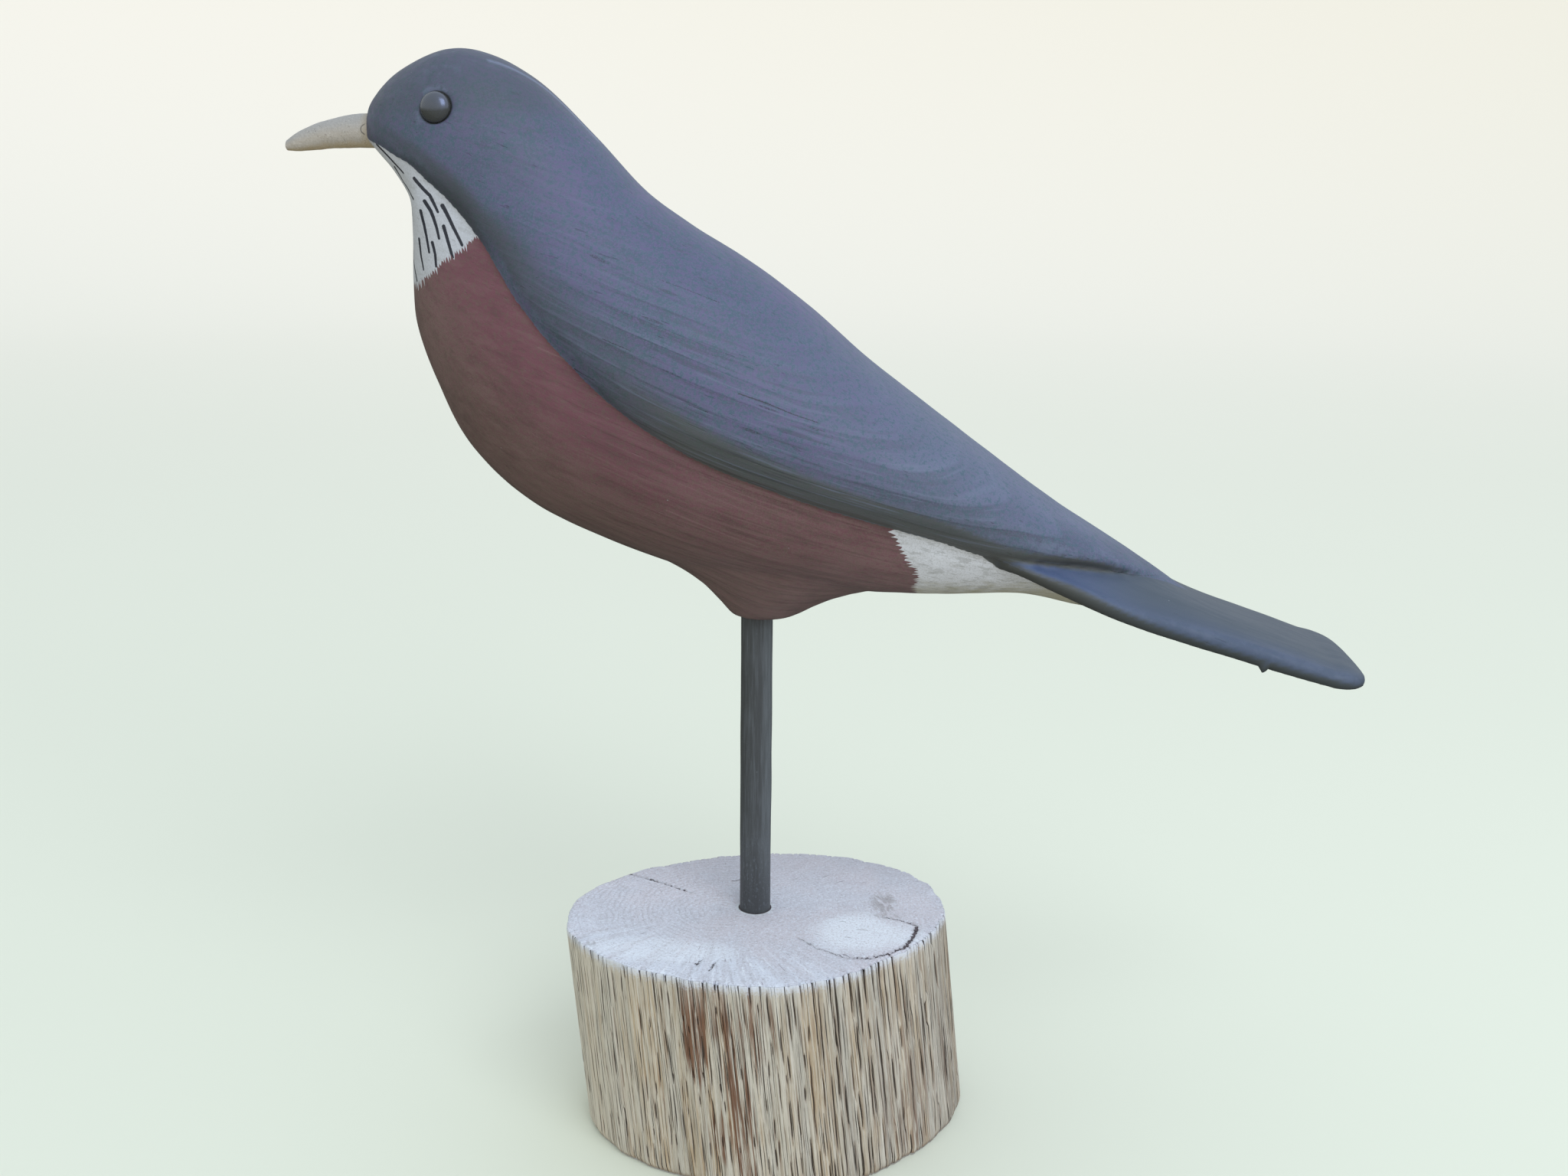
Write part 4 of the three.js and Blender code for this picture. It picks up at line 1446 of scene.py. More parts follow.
@dataclass(frozen=True)
class BillPaint(Finish):
    """Putty paint, greyer on top and olive below, with dark specks."""

    name: str = "bill_paint"
    top: Rgb = (0.3, 0.29, 0.28)
    side: Rgb = (0.375, 0.34, 0.3)
    low: Rgb = (0.36, 0.275, 0.158)
    dark: Rgb = (0.07, 0.065, 0.06)
    nostril: Stroke = Stroke(
        ((-72.3, 202), (-72.85, 201.6), (-73, 201.1), (-72.85, 200.6), (-72.4, 200.2)), 0.06, 0.09
    )

    def dress(self, g: Graph) -> dict[str, Value]:
        """Lays the paint from top to bottom and specks it."""
        place = g.millimetres()
        height = g.carried("round")
        cloud = g.noise(place, 0.5, 4, 0.6)
        shifted = height + (cloud - 0.5) * 0.5
        colour = g.mix(shifted.ramp(-0.2, 0.7), self.side, self.top)
        colour = g.mix(shifted.ramp(-0.45, -0.95, 0.85), colour, self.low)
        specks = g.use(speckle_group(), Place=place, Spacing=0.7, Size=0.19, Share=0.7)[0]
        colour = g.mix(specks * 0.5, colour, self.dark)
        fine = g.noise(place, 4, 3, 0.7)
        colour = g.mix(fine.ramp(0.5, 0.72, 0.4), colour, (0.54, 0.51, 0.47))
        colour = g.mix(fine.ramp(0.46, 0.3, 0.35), colour, (0.17, 0.14, 0.11))
        root = g.split(place)[0].ramp(-73.6, -72.2, 0.3)
        colour = g.mix(root, colour, self.low)
        nostril = self.strokes(g, g.join(g.split(place)[0], g.split(place)[2]), [self.nostril])
        mark = nostril.ramp(0.1, -0.06) * 0.8
        colour = g.mix(mark, colour, self.dark)
        rough = fine.ramp(0.3, 0.7, 0.72, 0.55)
        normal = self.relief(g, cloud * 0.22 + fine * 0.07 - specks * 0.04)
        return {"Base Color": colour, "Roughness": rough, "Specular IOR Level": 0.35, "Normal": normal}


@dataclass
class Bill:
    """The bill: a carved peg set into the head."""

    stations: tuple[tuple[float, float, float, float], ...] = (
        (-64, 200.9, 3, 2.9),
        (-72.5, 200.9, 3.1, 3.1),
        (-77.5, 200.5, 2.8, 2.8),
        (-82, 199.7, 2.35, 2.35),
        (-85.4, 198.8, 1.75, 1.8),
        (-87.5, 198.1, 0.95, 1),
    )
    sides: int = 72
    rings_per_station: int = 14
    tip_rings: int = 8
    tip_length: float = 0.45
    noise: SmoothNoise = SmoothNoise(23)

    def build(self) -> None:
        """Carves the bill and puts it in place of its plain solid."""
        rows = along_stations(self.stations, self.rings_per_station)
        x, z, tall, wide = rows[-1]
        out, along = quarter(np.linspace(0, 1, self.tip_rings + 1)[1:-1], CIRCLE)
        tip = np.stack([x - self.tip_length * along, z - 0.1 * along, tall * out, wide * out], axis=1)
        rows = np.vstack([rows, tip])
        angles = full_turn(self.sides)
        rings = np.stack([
            np.stack([np.full(self.sides, x), wide * np.cos(angles), z + tall * np.sin(angles)], axis=1)
            for x, z, tall, wide in rows
        ])
        shell = Shell(rings)
        points = shell.vertices()
        mesh = shell.mesh("bill")
        facets = 0.1 * self.noise.at(points * [0.5, 1, 1], 2.6) + 0.03 * self.noise.at(points, 0.9)
        place_vertices(mesh, points + facets[:, None] * normals(mesh))
        carry(mesh, round=np.append(np.tile(np.sin(angles), len(rows)), [0, 0]))
        install("carved_bill", mesh, BillPaint(), "bill")


@dataclass(frozen=True)
class EyeEnamel(Finish):
    """Black enamel, softly glossy and a little dusty."""

    name: str = "eye_enamel"
    black: Rgb = (0.052, 0.052, 0.043)
    dust: Rgb = (0.1, 0.1, 0.1)

    def dress(self, g: Graph) -> dict[str, Value]:
        """Lays the enamel with specks of dust."""
        place = g.millimetres()
        haze = g.noise(place, 0.9, 4, 0.7)
        specks = g.use(speckle_group(), Place=place, Spacing=0.7, Size=0.07, Share=0.3)[0]
        colour = g.mix(haze.ramp(0.45, 0.8, 0.12), self.black, self.dust)
        return {
            "Base Color": g.mix(specks * 0.3, colour, self.dust),
            "Roughness": haze.ramp(0.3, 0.8, 0.36, 0.22),
            "Specular IOR Level": 0.85,
            "IOR": 1.58,
            "Specular Tint": (0.48, 0.58, 1),
            "Coat Weight": 0.25,
            "Coat Roughness": 0.2,
            "Normal": self.relief(g, haze * 0.02),
        }


class Side(Enum):
    """Sides of the bird."""

    LEFT = -1
    RIGHT = 1


@dataclass
class Eye:
    """An eye: a domed head on a short shank."""

    side: Side
    centre: Point3 = EYE_CENTRE
    radius: float = 2.74
    dome: float = 2.0
    rim: float = 0.5
    rim_round: float = 0.22
    seat: float = 0.9
    shank_radius: float = 1.0
    shank_length: float = 4.0
    sides: int = 56
    dome_steps: int = 16
    forward_turn: float = 12.0
    upward_turn: float = 8.0

    def profile(self) -> list[Point2]:
        """Radius and height of the eye's outline, from the end of the shank to the top of the dome."""
        line = [(self.shank_radius, -self.shank_length), (self.shank_radius, -self.seat)]
        line += [(self.radius, -self.seat), (self.radius, self.rim - self.rim_round)]
        out, up = quarter(np.linspace(0, 1, self.dome_steps + 1)[:-1], CIRCLE)
        line += [(self.radius * o, self.rim + (self.dome - self.rim) * u) for o, u in zip(out, up)]
        return line

    def build(self) -> None:
        """Makes the eye and puts it in place of its plain solid."""
        angles = full_turn(self.sides)
        circle = np.stack([np.cos(angles), np.sin(angles)], axis=1)
        rings = [np.column_stack([circle * radius, np.full(self.sides, z)]) for radius, z in self.profile()]
        shell = Shell(np.array(rings))
        points = shell.vertices()
        points[-1, 2] = self.dome
        mesh = new_mesh("eye", points, shell.outward().tolist())
        forward, upward = math.radians(self.forward_turn), math.radians(self.upward_turn)
        out = Vector((-math.sin(forward), self.side.value * math.cos(forward), math.sin(upward)))
        centre = Vector((self.centre[0], self.side.value * self.centre[1], self.centre[2])) * MM
        turn = Vector((0, 0, 1)).rotation_difference(out).to_matrix().to_4x4()
        mesh.transform(Matrix.Translation(centre) @ turn)
        node = f"eye_{self.side.name.lower()}"
        install(f"domed_{node}", mesh, EyeEnamel(), node)


# Dowel.


@dataclass(frozen=True)
class DowelPaint(Finish):
    """Dark slate paint on a straight-grained rod, scuffed towards its foot."""

    name: str = "dowel_paint"
    laid: Rgb = (0.05, 0.054, 0.058)
    thin: Rgb = (0.08, 0.09, 0.102)
    # The next two colours are the painted highlight down the rod's right side and the painted shade near
    # its foot.
    rubbed: Rgb = (0.105, 0.12, 0.132)
    foot_shade: Rgb = (0.03, 0.032, 0.036)
    scuff: Rgb = (0.26, 0.31, 0.38)
    foot: float = 46.8

    def dress(self, g: Graph) -> dict[str, Value]:
        """Lays the paint along the grain and scuffs it."""
        place = g.millimetres()
        x, y, z = g.split(place)
        fibre = g.join(x, y, z * 0.05)
        streaks = g.noise(fibre, 2.2, 4, 0.65)
        cloud = g.noise(place, 0.12, 3, 0.6)
        fine = g.noise(place, 4, 3, 0.7)
        colour = g.mix(streaks.ramp(0.42, 0.7, 0.8), self.laid, self.thin)
        colour = g.mix(cloud.ramp(0.5, 0.8, 0.4), colour, self.thin)
        # Painted highlight down the rod's right side.
        rubbed = x.ramp(0.6, 2.8) * streaks.ramp(0.3, 0.6, 0.8, 0.4)
        colour = g.mix(rubbed, colour, self.rubbed)
        # Painted shade towards the rod's foot.
        near_foot = z.ramp(self.foot + 18, self.foot + 1)
        colour = g.mix(near_foot * 0.62, colour, self.foot_shade)
        scratched = g.noise(g.join(x, y, z * 0.4), 2.4, 5, 0.75)
        scuffs = scratched.ramp(0.54, 0.62) * z.ramp(self.foot + 24, self.foot + 4)
        specks = g.use(speckle_group(), Place=place, Spacing=1.5, Size=0.16, Share=0.25)[0]
        marks = g.math("MAXIMUM", scuffs * 0.2, specks * 0.35)
        colour = g.mix(marks, colour, self.scuff)
        rough = streaks.ramp(0.3, 0.7, 0.58, 0.42)
        normal = self.relief(g, streaks * 0.09 + fine * 0.02 - scuffs * 0.03)
        return {"Base Color": colour, "Roughness": rough, "Normal": normal}


@dataclass
class Dowel:
    """The rod that holds the bird up."""

    radius: float = 6.35 / 2
    low: float = 22.8
    high: float = 132.3
    sides: int = 96
    levels: int = 180
    noise: SmoothNoise = SmoothNoise(31)

    def build(self) -> None:
        """Turns the rod and puts it in place of its plain solid."""
        angles = full_turn(self.sides)
        heights = np.linspace(self.low, self.high, self.levels + 1)
        turn, z = np.meshgrid(angles, heights)
        place = np.stack([np.cos(turn), np.sin(turn), z], axis=-1)
        place[..., :2] *= self.radius
        flat = place.reshape(-1, 3)
        dents = 0.05 * self.noise.at(flat * [1, 1, 0.12], 1.6)
        dents += 0.03 * self.noise.at(flat * [1, 1, 0.05], 0.5)
        dents += 0.05 * self.noise.at(flat, 9)
        flat[:, :2] *= (1 + (dents - 0.04) / self.radius)[:, None]
        mesh = Shell(flat.reshape(place.shape)).mesh("dowel")
        install("painted_dowel", mesh, DowelPaint(), "dowel")


# Slice of log.


@dataclass(frozen=True)
class Wave:
    """One ripple of the log's outline."""

    waves: int
    size: float
    turn: float
    drift: float = 0.0


@dataclass(frozen=True)
class Blot:
    """A stain or patch of the log: its centre, size and strength."""

    centre: Point3
    size: Point3
    strength: float


@dataclass(frozen=True)
class WeatheredWood(Finish):
    """Bare grey wood: split and streaked down the side, ringed and cracked on top."""

    cracks: tuple[Stroke, ...]
    stains: tuple[Blot, ...]
    patches: tuple[Blot, ...]
    knots: tuple[Blot, ...]
    name: str = "weathered_wood"
    side_pale: Rgb = (0.59, 0.555, 0.48)
    side_warm: Rgb = (0.46, 0.365, 0.245)
    side_grey: Rgb = (0.42, 0.395, 0.335)
    side_dull: Rgb = (0.3, 0.285, 0.255)
    brown: Rgb = (0.15, 0.066, 0.034)
    shadow: Rgb = (0.045, 0.034, 0.026)
    top_pale: Rgb = (0.61, 0.65, 0.73)
    top_grey: Rgb = (0.5, 0.5, 0.555)
    top_mauve: Rgb = (0.53, 0.505, 0.55)
    top_dark: Rgb = (0.3, 0.28, 0.3)
    top_white: Rgb = (0.72, 0.76, 0.82)
    crack: Rgb = (0.06, 0.042, 0.048)
    knot: Rgb = (0.215, 0.195, 0.185)
    glue: Rgb = (0.66, 0.73, 0.74)
    pith: Point2 = (-6.9, -1.7)
    foot: Point2 = (5.4, 1.5)
    lean: Point2 = (-0.094, -0.083)
    radius: float = 34.0
    dowel_radius: float = 3.3

    def dress(self, g: Graph) -> dict[str, Value]:
        """Colours the side and the top, and joins them at the rim."""
        place = g.millimetres()
        fine = g.noise(place, 2.6, 4, 0.7)
        side, side_height = self.side(g, place, fine)
        top, top_height = self.top(g, place, fine)
        on_top = g.carried("on_top")
        rim = (on_top + (fine - 0.5) * 0.7).ramp(0.3, 0.7)
        colour = g.mix(rim, side, top)
        rough = fine.ramp(0.2, 0.8, 0.95, 0.78)
        height = g.node("Mix", {0: rim, 2: side_height, 3: top_height}, data_type="FLOAT")[0]
        normal = self.relief(g, height)
        return {"Base Color": colour, "Roughness": rough, "Specular IOR Level": 0.25, "Normal": normal}

    def blots(self, g: Graph, place: Value, noise: Value, blots: Sequence[Blot]) -> Signal:
        """The strongest of several soft patches at each place.

        Args:
            g: The material's graph.
            place: Place in millimetres.
            noise: What frays the patches.
            blots: The patches.

        Returns:
            The mask.
        """
        strongest = None
        for blot in blots:
            inputs = {"Centre": blot.centre, "Size": blot.size, "Raggedness": 1.1, "Noise": noise}
            mask = g.use(blot_group(), Place=place, **inputs)["Mask"] * blot.strength
            strongest = mask if strongest is None else g.math("MAXIMUM", strongest, mask)
        return strongest

    def side(self, g: Graph, place: Value, fine: Value) -> tuple[Signal, Signal]:
        """Colour and height of the side: fibres, splits, brown stains and grey weathering.

        Args:
            g: The material's graph.
            place: Place in millimetres.
            fine: Fine noise.

        Returns:
            The colour and the height in millimetres.
        """
        x, y, z = g.split(place)
        upright_x = x - z * self.lean[0]
        upright_y = y - z * self.lean[1]
        upright = g.join(upright_x, upright_y, z)
        spoke = g.join(upright_x - self.foot[0], upright_y - self.foot[1])
        spoke = g.scaled(g.vector("NORMALIZE", spoke), self.radius)
        fibre = g.vector("ADD", spoke, g.join(0, 0, z * 0.018))
        short = g.vector("ADD", spoke, g.join(0, 0, z * 0.06))
        hair = g.noise(fibre, 4.2, 3, 0.7)
        strand = g.noise(short, 2, 4, 0.7)
        band = g.noise(fibre, 0.3, 3, 0.6)
        streak = g.noise(fibre, 1.2, 3, 0.65)
        cloud = g.noise(upright, 0.06, 3, 0.6)
        right = upright_x.ramp(4, 24)
        colour = g.mix(band.ramp(0.38, 0.58), self.side_warm, self.side_grey)
        colour = g.mix(cloud.ramp(0.46, 0.66, 0.5), colour, self.side_pale)
        colour = g.mix(streak.ramp(0.52, 0.66, 0.55), colour, self.side_pale)
        colour = g.mix(streak.ramp(0.44, 0.32) * right.ramp(0, 1, 0.45, 0.15), colour, self.brown)
        colour = g.coats(colour, (
            (hair, 0.5, 0.6, 0.75, self.side_pale),
            (hair, 0.46, 0.36, 0.4, self.brown),
            (strand, 0.44, 0.34, 0.25, self.brown),
        ))
        stain = self.blots(g, upright, streak, self.stains)
        grained = hair * 0.5 + streak * 0.5
        stain = stain * grained.ramp(0.42, 0.58, 0.15, 1)
        colour = g.mix(stain.ramp(0.08, 0.7, 0.9), colour, self.brown)
        colour = g.mix(right * streak.ramp(0.6, 0.4, 0.36, 0.08), colour, self.side_dull)
        rim = z.ramp(38, 46.4) * strand.ramp(0.35, 0.6, 0.55, 0.1)
        colour = g.mix(rim, colour, self.side_pale)
        left = upright_x.ramp(-14, -30, 0.75) * streak.ramp(0.35, 0.55, 1, 0.3)
        colour = g.mix(left, colour, self.side_pale)
        edge = upright_x.ramp(37.5, 43) * hair.ramp(0.56, 0.42, 0.42, 0.08)
        colour = g.mix(edge, colour, self.shadow)
        near_top = z + fine * 5
        colour = g.mix(near_top.ramp(46.6, 49, 0.8), colour, self.top_pale)
        colour = g.mix(z.ramp(1.6, 0.2, 0.6), colour, self.brown)

        turn = g.math("ARCTAN2", upright_x - self.foot[0], self.foot[1] - upright_y)
        around = turn * self.radius
        open_split = g.carried("split")
        loose = (hair - 0.5) * 0.3
        dark = (open_split + loose).ramp(0.52, 0.68)
        lines = {"Around": around, "Height": z}
        small = g.use(split_group(), Lane=1.1, Length=11, Share=0.42, Width=0.07, **lines)["Mask"]
        hairline = g.use(split_group(), Lane=0.62, Length=9, Share=0.42, Width=0.045, **lines)["Mask"]
        drawn = g.math("MAXIMUM", small * 0.95, hairline * 0.62)
        colour = g.mix(open_split.ramp(0.05, 0.45, 0.3), colour, self.brown)
        colour = g.mix(g.math("MAXIMUM", drawn, dark * 0.92), colour, self.shadow)
        height = hair * 0.3 + strand * 0.14
        height = height - g.math("MAXIMUM", drawn, dark) * 0.3
        return colour, height + fine * 0.05

    def top(self, g: Graph, place: Value, fine: Value) -> tuple[Signal, Signal]:
        """Colour and height of the sawn top: rings, rays, cracks, a pale patch and a knot.

        Args:
            g: The material's graph.
            place: Place in millimetres.
            fine: Fine noise.

        Returns:
            The colour and the height in millimetres.
        """
        x, y, z = g.split(place)
        upper = z.ramp(10, 30)
        flat = g.join(x, y)
        from_pith = g.vector("SUBTRACT", flat, (*self.pith, 0))
        reach = g.vector("LENGTH", from_pith)
        px, py, _ = g.split(from_pith)
        outward = g.vector("NORMALIZE", from_pith)
        slow = g.noise(flat, 0.05, 3, 0.6)
        bend = g.noise(flat, 0.1, 4, 0.62) * 3.6
        year = g.math("FRACT", reach * 0.85 + bend)
        ring = year.ramp(0.45, 0.85) * year.ramp(1, 0.88)
        ring = ring * g.noise(flat, 0.16, 3, 0.6).ramp(0.36, 0.56)
        ring = ring * px.ramp(16, -8, 1, 0.3)
        climb = g.join(0, 0, reach * 0.045)
        fan = g.vector("ADD", g.scaled(outward, 10), climb)
        ray = g.noise(fan, 3.2, 3, 0.65)
        coarse_ray = g.noise(fan, 1.1, 2, 0.5)
        front = (py * -1 + px * -0.35).ramp(9, 24)
        fuzz = g.noise(flat, 1.7, 3, 0.75)
        patch = self.blots(g, flat, slow, self.patches)
        colour = g.mix(slow.ramp(0.4, 0.6), self.top_grey, self.top_mauve)
        colour = g.mix(fuzz.ramp(0.46, 0.66, 0.7), colour, self.top_pale)
        colour = g.mix(front * coarse_ray.ramp(0.38, 0.62, 0.75, 0.15), colour, self.top_pale)
        colour = g.mix(patch * fuzz.ramp(0.34, 0.56, 0.9, 0.35), colour, self.top_white)
        dull = 1 - g.math("MAXIMUM", front, patch)
        colour = g.mix(ring * dull.ramp(0, 1, 0.3, 0.05), colour, self.top_dark)
        streaky = reach.ramp(8, 20) * front.ramp(0, 1, 0.6, 0.18)
        colour = g.mix(streaky * ray.ramp(0.45, 0.3, 0.6), colour, self.top_dark)
        colour = g.mix(streaky * ray.ramp(0.54, 0.68), colour, self.top_white)
        colour = g.coats(colour, (
            (fine, 0.47, 0.32, 0.7, self.top_dark),
            (fine, 0.54, 0.68, 0.65, self.top_white),
            (py, 6, 28, 0.35, self.top_dark),
        ))
        streaks = g.noise(g.join(x + y * 0.35, y * 0.25), 1, 3, 0.6)
        knot = self.blots(g, flat, fuzz, self.knots) * streaks.ramp(0.36, 0.56)
        colour = g.mix(knot * 0.5, colour, self.knot)
        shaken = g.node("TexNoise", {"Vector": flat, "Scale": 1.1, "Detail": 3})["Color"]
        shaken = g.vector("SUBTRACT", shaken, (0.5, 0.5, 0.5))
        shaken = g.vector("MULTIPLY", shaken, (1.8, 1.8, 0))
        cracks = self.strokes(g, g.vector("ADD", flat, shaken), self.cracks)
        crack = (cracks + (fine - 0.5) * 0.25).ramp(0.07, -0.07)
        colour = g.mix(cracks.ramp(0.55, 0, 0.25), colour, self.knot)
        colour = g.mix(crack * 0.9, colour, self.crack)
        dashes = g.noise(fan, 4.5, 1, 0.5).ramp(0.73, 0.78)
        colour = g.mix(dashes * 0.5, colour, self.crack)
        collar = g.vector("LENGTH", flat)
        glue = collar.ramp(self.dowel_radius + 0.9, self.dowel_radius + 0.3)
        glue = glue * fine.ramp(0.3, 0.55, 0.45, 0.1)
        colour = g.mix(glue * upper, colour, self.glue)
        hole = collar.ramp(self.dowel_radius + 0.22, self.dowel_radius - 0.02)
        colour = g.mix(hole * upper, colour, self.crack)
        colour = g.mix(z.ramp(30, 10, 0.6), colour, self.side_dull)
        height = fine * 0.16 - ring * 0.04
        height = height + ray * 0.1
        return colour, height - crack * 0.3


@dataclass
class WeatheredLog:
    """The slice of log: its outline, its split side and its cracked top."""

    height: float = 46.8
    radius: float = 33.8
    flare: float = 1.0
    centre_top: Point2 = (1, -2.4)
    centre_bottom: Point2 = (5.4, 1.5)
    outline: tuple[Wave, ...] = (
        Wave(2, 4.4, 0.47), Wave(3, 1, 2.4), Wave(4, 0.8, 0.75),
        Wave(13, 0.13, 0.4, 0.5), Wave(21, 0.12, 2.6, -0.6), Wave(34, 0.09, 1.2, 0.9),
    )
    columns: int = 1280
    side_levels: int = 46
    top_rings: int = 20
    under_rings: int = 1
    rim_crowding: float = 1.6
    bevel: tuple[Point2, ...] = ((0.5, 0), (0.2, 0.1), (0.05, 0.28), (0, 0.5))
    lane_width: float = 1.9
    noise: SmoothNoise = SmoothNoise(47)
    cracks: tuple[Stroke, ...] = (
        Stroke(((-28.6, 15), (-23, 12), (-17.8, 8.9), (-13.4, 5.8)), 0.12, 0.04, 0.5),
        Stroke(((9.4, -13.6), (13.6, -18), (18.6, -20.9)), -0.02, 0.04, 0.1),
        Stroke(
            ((18.6, -20.9), (23.6, -20.9), (27.1, -18.8), (30.2, -16.3), (32.1, -12), (33.1, -7.6)),
            0.03, 0.4, 0.45,
        ),
        Stroke(((26.4, -3.2), (30, -4.4), (33.3, -6.6)), 0.05, 0.14, 0.3),
        Stroke(((-6.3, -23.9), (-7.2, -27.4)), 0.05, 0.12, 0.3),
        Stroke(((-9, -23.5), (-9.9, -25.6)), 0.04, 0.09, 0.2),
        Stroke(((-2.4, 13.4), (-5.6, 12.2)), 0.06, 0.12, 0.2),
    )
    patches: tuple[Blot, ...] = (
        Blot((22.5, -10.5, 0), (12.5, 9.6, 9), 1),
        Blot((-17, -20, 0), (15, 5.5, 9), 0.6),
    )
    knots: tuple[Blot, ...] = (
        Blot((26.6, 3.6, 0), (3, 5.4, 9), 1),
        Blot((27.5, -2.6, 0), (3.8, 1.8, 9), 0.8),
        Blot((-31.5, -18, 0), (1.4, 1, 9), 0.9),
    )
    stains: tuple[Blot, ...] = (
        Blot((-6.6, -27.6, 38), (2.7, 5, 15), 1.6),
        Blot((-1.6, -28.6, 40), (3.6, 5, 9), 0.7),
        Blot((0.4, -28.6, 30), (2.7, 5, 22), 0.68),
        Blot((1.6, -29.2, 14), (3.3, 5, 20), 0.72),
        Blot((-3, -30, 12), (3.4, 5, 7), 0.6),
        Blot((5.5, -29.6, 38), (4.6, 6, 14), 0.6),
        Blot((31, -14, 14), (6, 8, 20), 0.5),
        Blot((26, -18, 33), (3, 6, 9), 0.3),
        Blot((-24, -18, 14), (4, 6, 16), 0.35),
        Blot((2, 32, 24), (6, 6, 16), 0.5),
        Blot((-24, 20, 30), (4, 5, 14), 0.45),
    )

    def outline_radius(self, angle: Array, level: Array) -> Array:
        """Radius of the log at angles round it and levels from 0 at the foot to 1 at the top.

        Args:
            angle: The angles.
            level: The levels.

        Returns:
            The radii in millimetres.
        """
        radius = self.radius + self.flare * (1 - level)
        for wave in self.outline:
            radius = radius + wave.size * np.cos(wave.waves * angle - wave.turn - wave.drift * level)
        return radius

    def build(self) -> None:
        """Weathers the log and puts it in place of its plain solid."""
        angle = full_turn(self.columns)
        side_z = np.linspace(0, self.height - self.bevel[0][0], self.side_levels + 1)
        bevel_z = [self.height - drop for drop, _ in self.bevel[1:]]
        z = np.concatenate([side_z, bevel_z])
        inset = np.concatenate([np.zeros(len(side_z)), [inset for _, inset in self.bevel[1:]]])
        turn, tall = np.meshgrid(angle, z)
        level = tall / self.height
        radius = self.outline_radius(turn, level) - inset[:, None]
        groove, split = self.splits(turn, tall)
        radius -= groove
        rounding = rise(2.2, 0, tall)
        radius -= 0.7 * rounding**2
        x, y = (low + (high - low) * level for low, high in zip(self.centre_bottom, self.centre_top))
        side = np.stack([x + radius * np.cos(turn), y + radius * np.sin(turn), tall], axis=-1)
        side[-3:, :, 2] -= 0.7 * split[-3:] + 0.1

        hub = np.array([*self.centre_top, self.height])
        shares = 1 - np.linspace(0, 1, self.top_rings + 2)[1:-1, None, None] ** self.rim_crowding
        top = hub + (side[-1] - hub) * shares
        top[:, :, 2] = self.height + self.top_relief(top)
        foot = np.array([*self.centre_bottom, 0])
        shares = np.linspace(0, 1, self.under_rings + 2)[1:-1, None, None]
        under = foot + (side[0] - foot) * shares
        rings = np.concatenate([under, side, top])
        mesh = Shell(rings).mesh("log")

        on_top = np.zeros(rings.shape[:2])
        on_top[len(under) + len(side) - 2 :] = 1
        on_top[: len(under) + 1] = 1
        opened = np.zeros(rings.shape[:2])
        opened[len(under) : len(under) + len(side)] = split
        carry(mesh, on_top=np.append(on_top.ravel(), [1, 1]))
        carry(mesh, split=np.append(opened.ravel(), [0, 0]))
        finish = WeatheredWood(self.cracks, self.stains, self.patches, self.knots)
        install("weathered_log", mesh, finish, "log_base")

    def splits(self, turn: Array, tall: Array) -> tuple[Array, Array]:
        """Drying splits, fibres and flutes of the side; the +X side has longer and deeper splits.

        Args:
            turn: Angle round the log at each point of the side.
            tall: Height at each point of the side.

        Returns:
            How far each point lies back, in millimetres, and how much of it is a split, from 0 to 1.
        """
        chance = np.random.default_rng(5)
        around = turn[0] * self.radius
        length_round = FULL_TURN * self.radius
        z = tall[:, 0]
        split = np.zeros_like(tall)
        groove = np.zeros_like(tall)
        for lane in range(int(length_round / self.lane_width)):
            low = chance.uniform(-8, 2)
            deep = float(rise(-0.1, 0.7, math.cos(lane * self.lane_width / self.radius)))
            while low < self.height:
                length = float(np.clip(chance.lognormal(1.65, 0.5), 2.2, 12)) * (1 + 1.6 * deep)
                middle = (lane + chance.uniform(0.08, 0.92)) * self.lane_width
                lean, sway = chance.normal(0, 0.01), chance.uniform(0.02, 0.07)
                phase = chance.uniform(0, FULL_TURN)
                width = chance.uniform(0.18, 0.3) * (1 + 0.5 * deep)
                depth = chance.uniform(0.2, 0.5) * (1 + 0.9 * deep)
                rows = np.where((z > low) & (z < low + length))[0]
                if len(rows):
                    climb = z[rows] - low
                    lens = (4 * climb / length * (1 - climb / length)).clip(0) ** 0.35
                    line = middle + lean * climb + sway * np.sin(climb * 0.9 + phase)
                    gap = around[None, :] - line[:, None]
                    gap = np.abs((gap + length_round / 2) % length_round - length_round / 2)
                    cut = np.clip(1 - gap / width, 0, 1) * lens[:, None]
                    split[rows] = np.maximum(split[rows], cut)
                    groove[rows] = np.maximum(groove[rows], cut * depth)
                low += length + (0.6 + chance.exponential(3.4)) * (1 - 0.6 * deep)
        places = np.stack([np.cos(turn) * self.radius, np.sin(turn) * self.radius, tall * 0.05], axis=-1)
        flat = places.reshape(-1, 3)
        right = rise(2, 22, flat[:, 0])
        fibres = 0.1 * self.noise.at(flat, 0.8) + (0.1 + 0.16 * right) * self.noise.at(flat, 1.7)
        flutes = 0.13 * self.noise.at(flat * [1, 1, 2], 6)
        return groove + (fibres + flutes).reshape(tall.shape) + 0.1, split

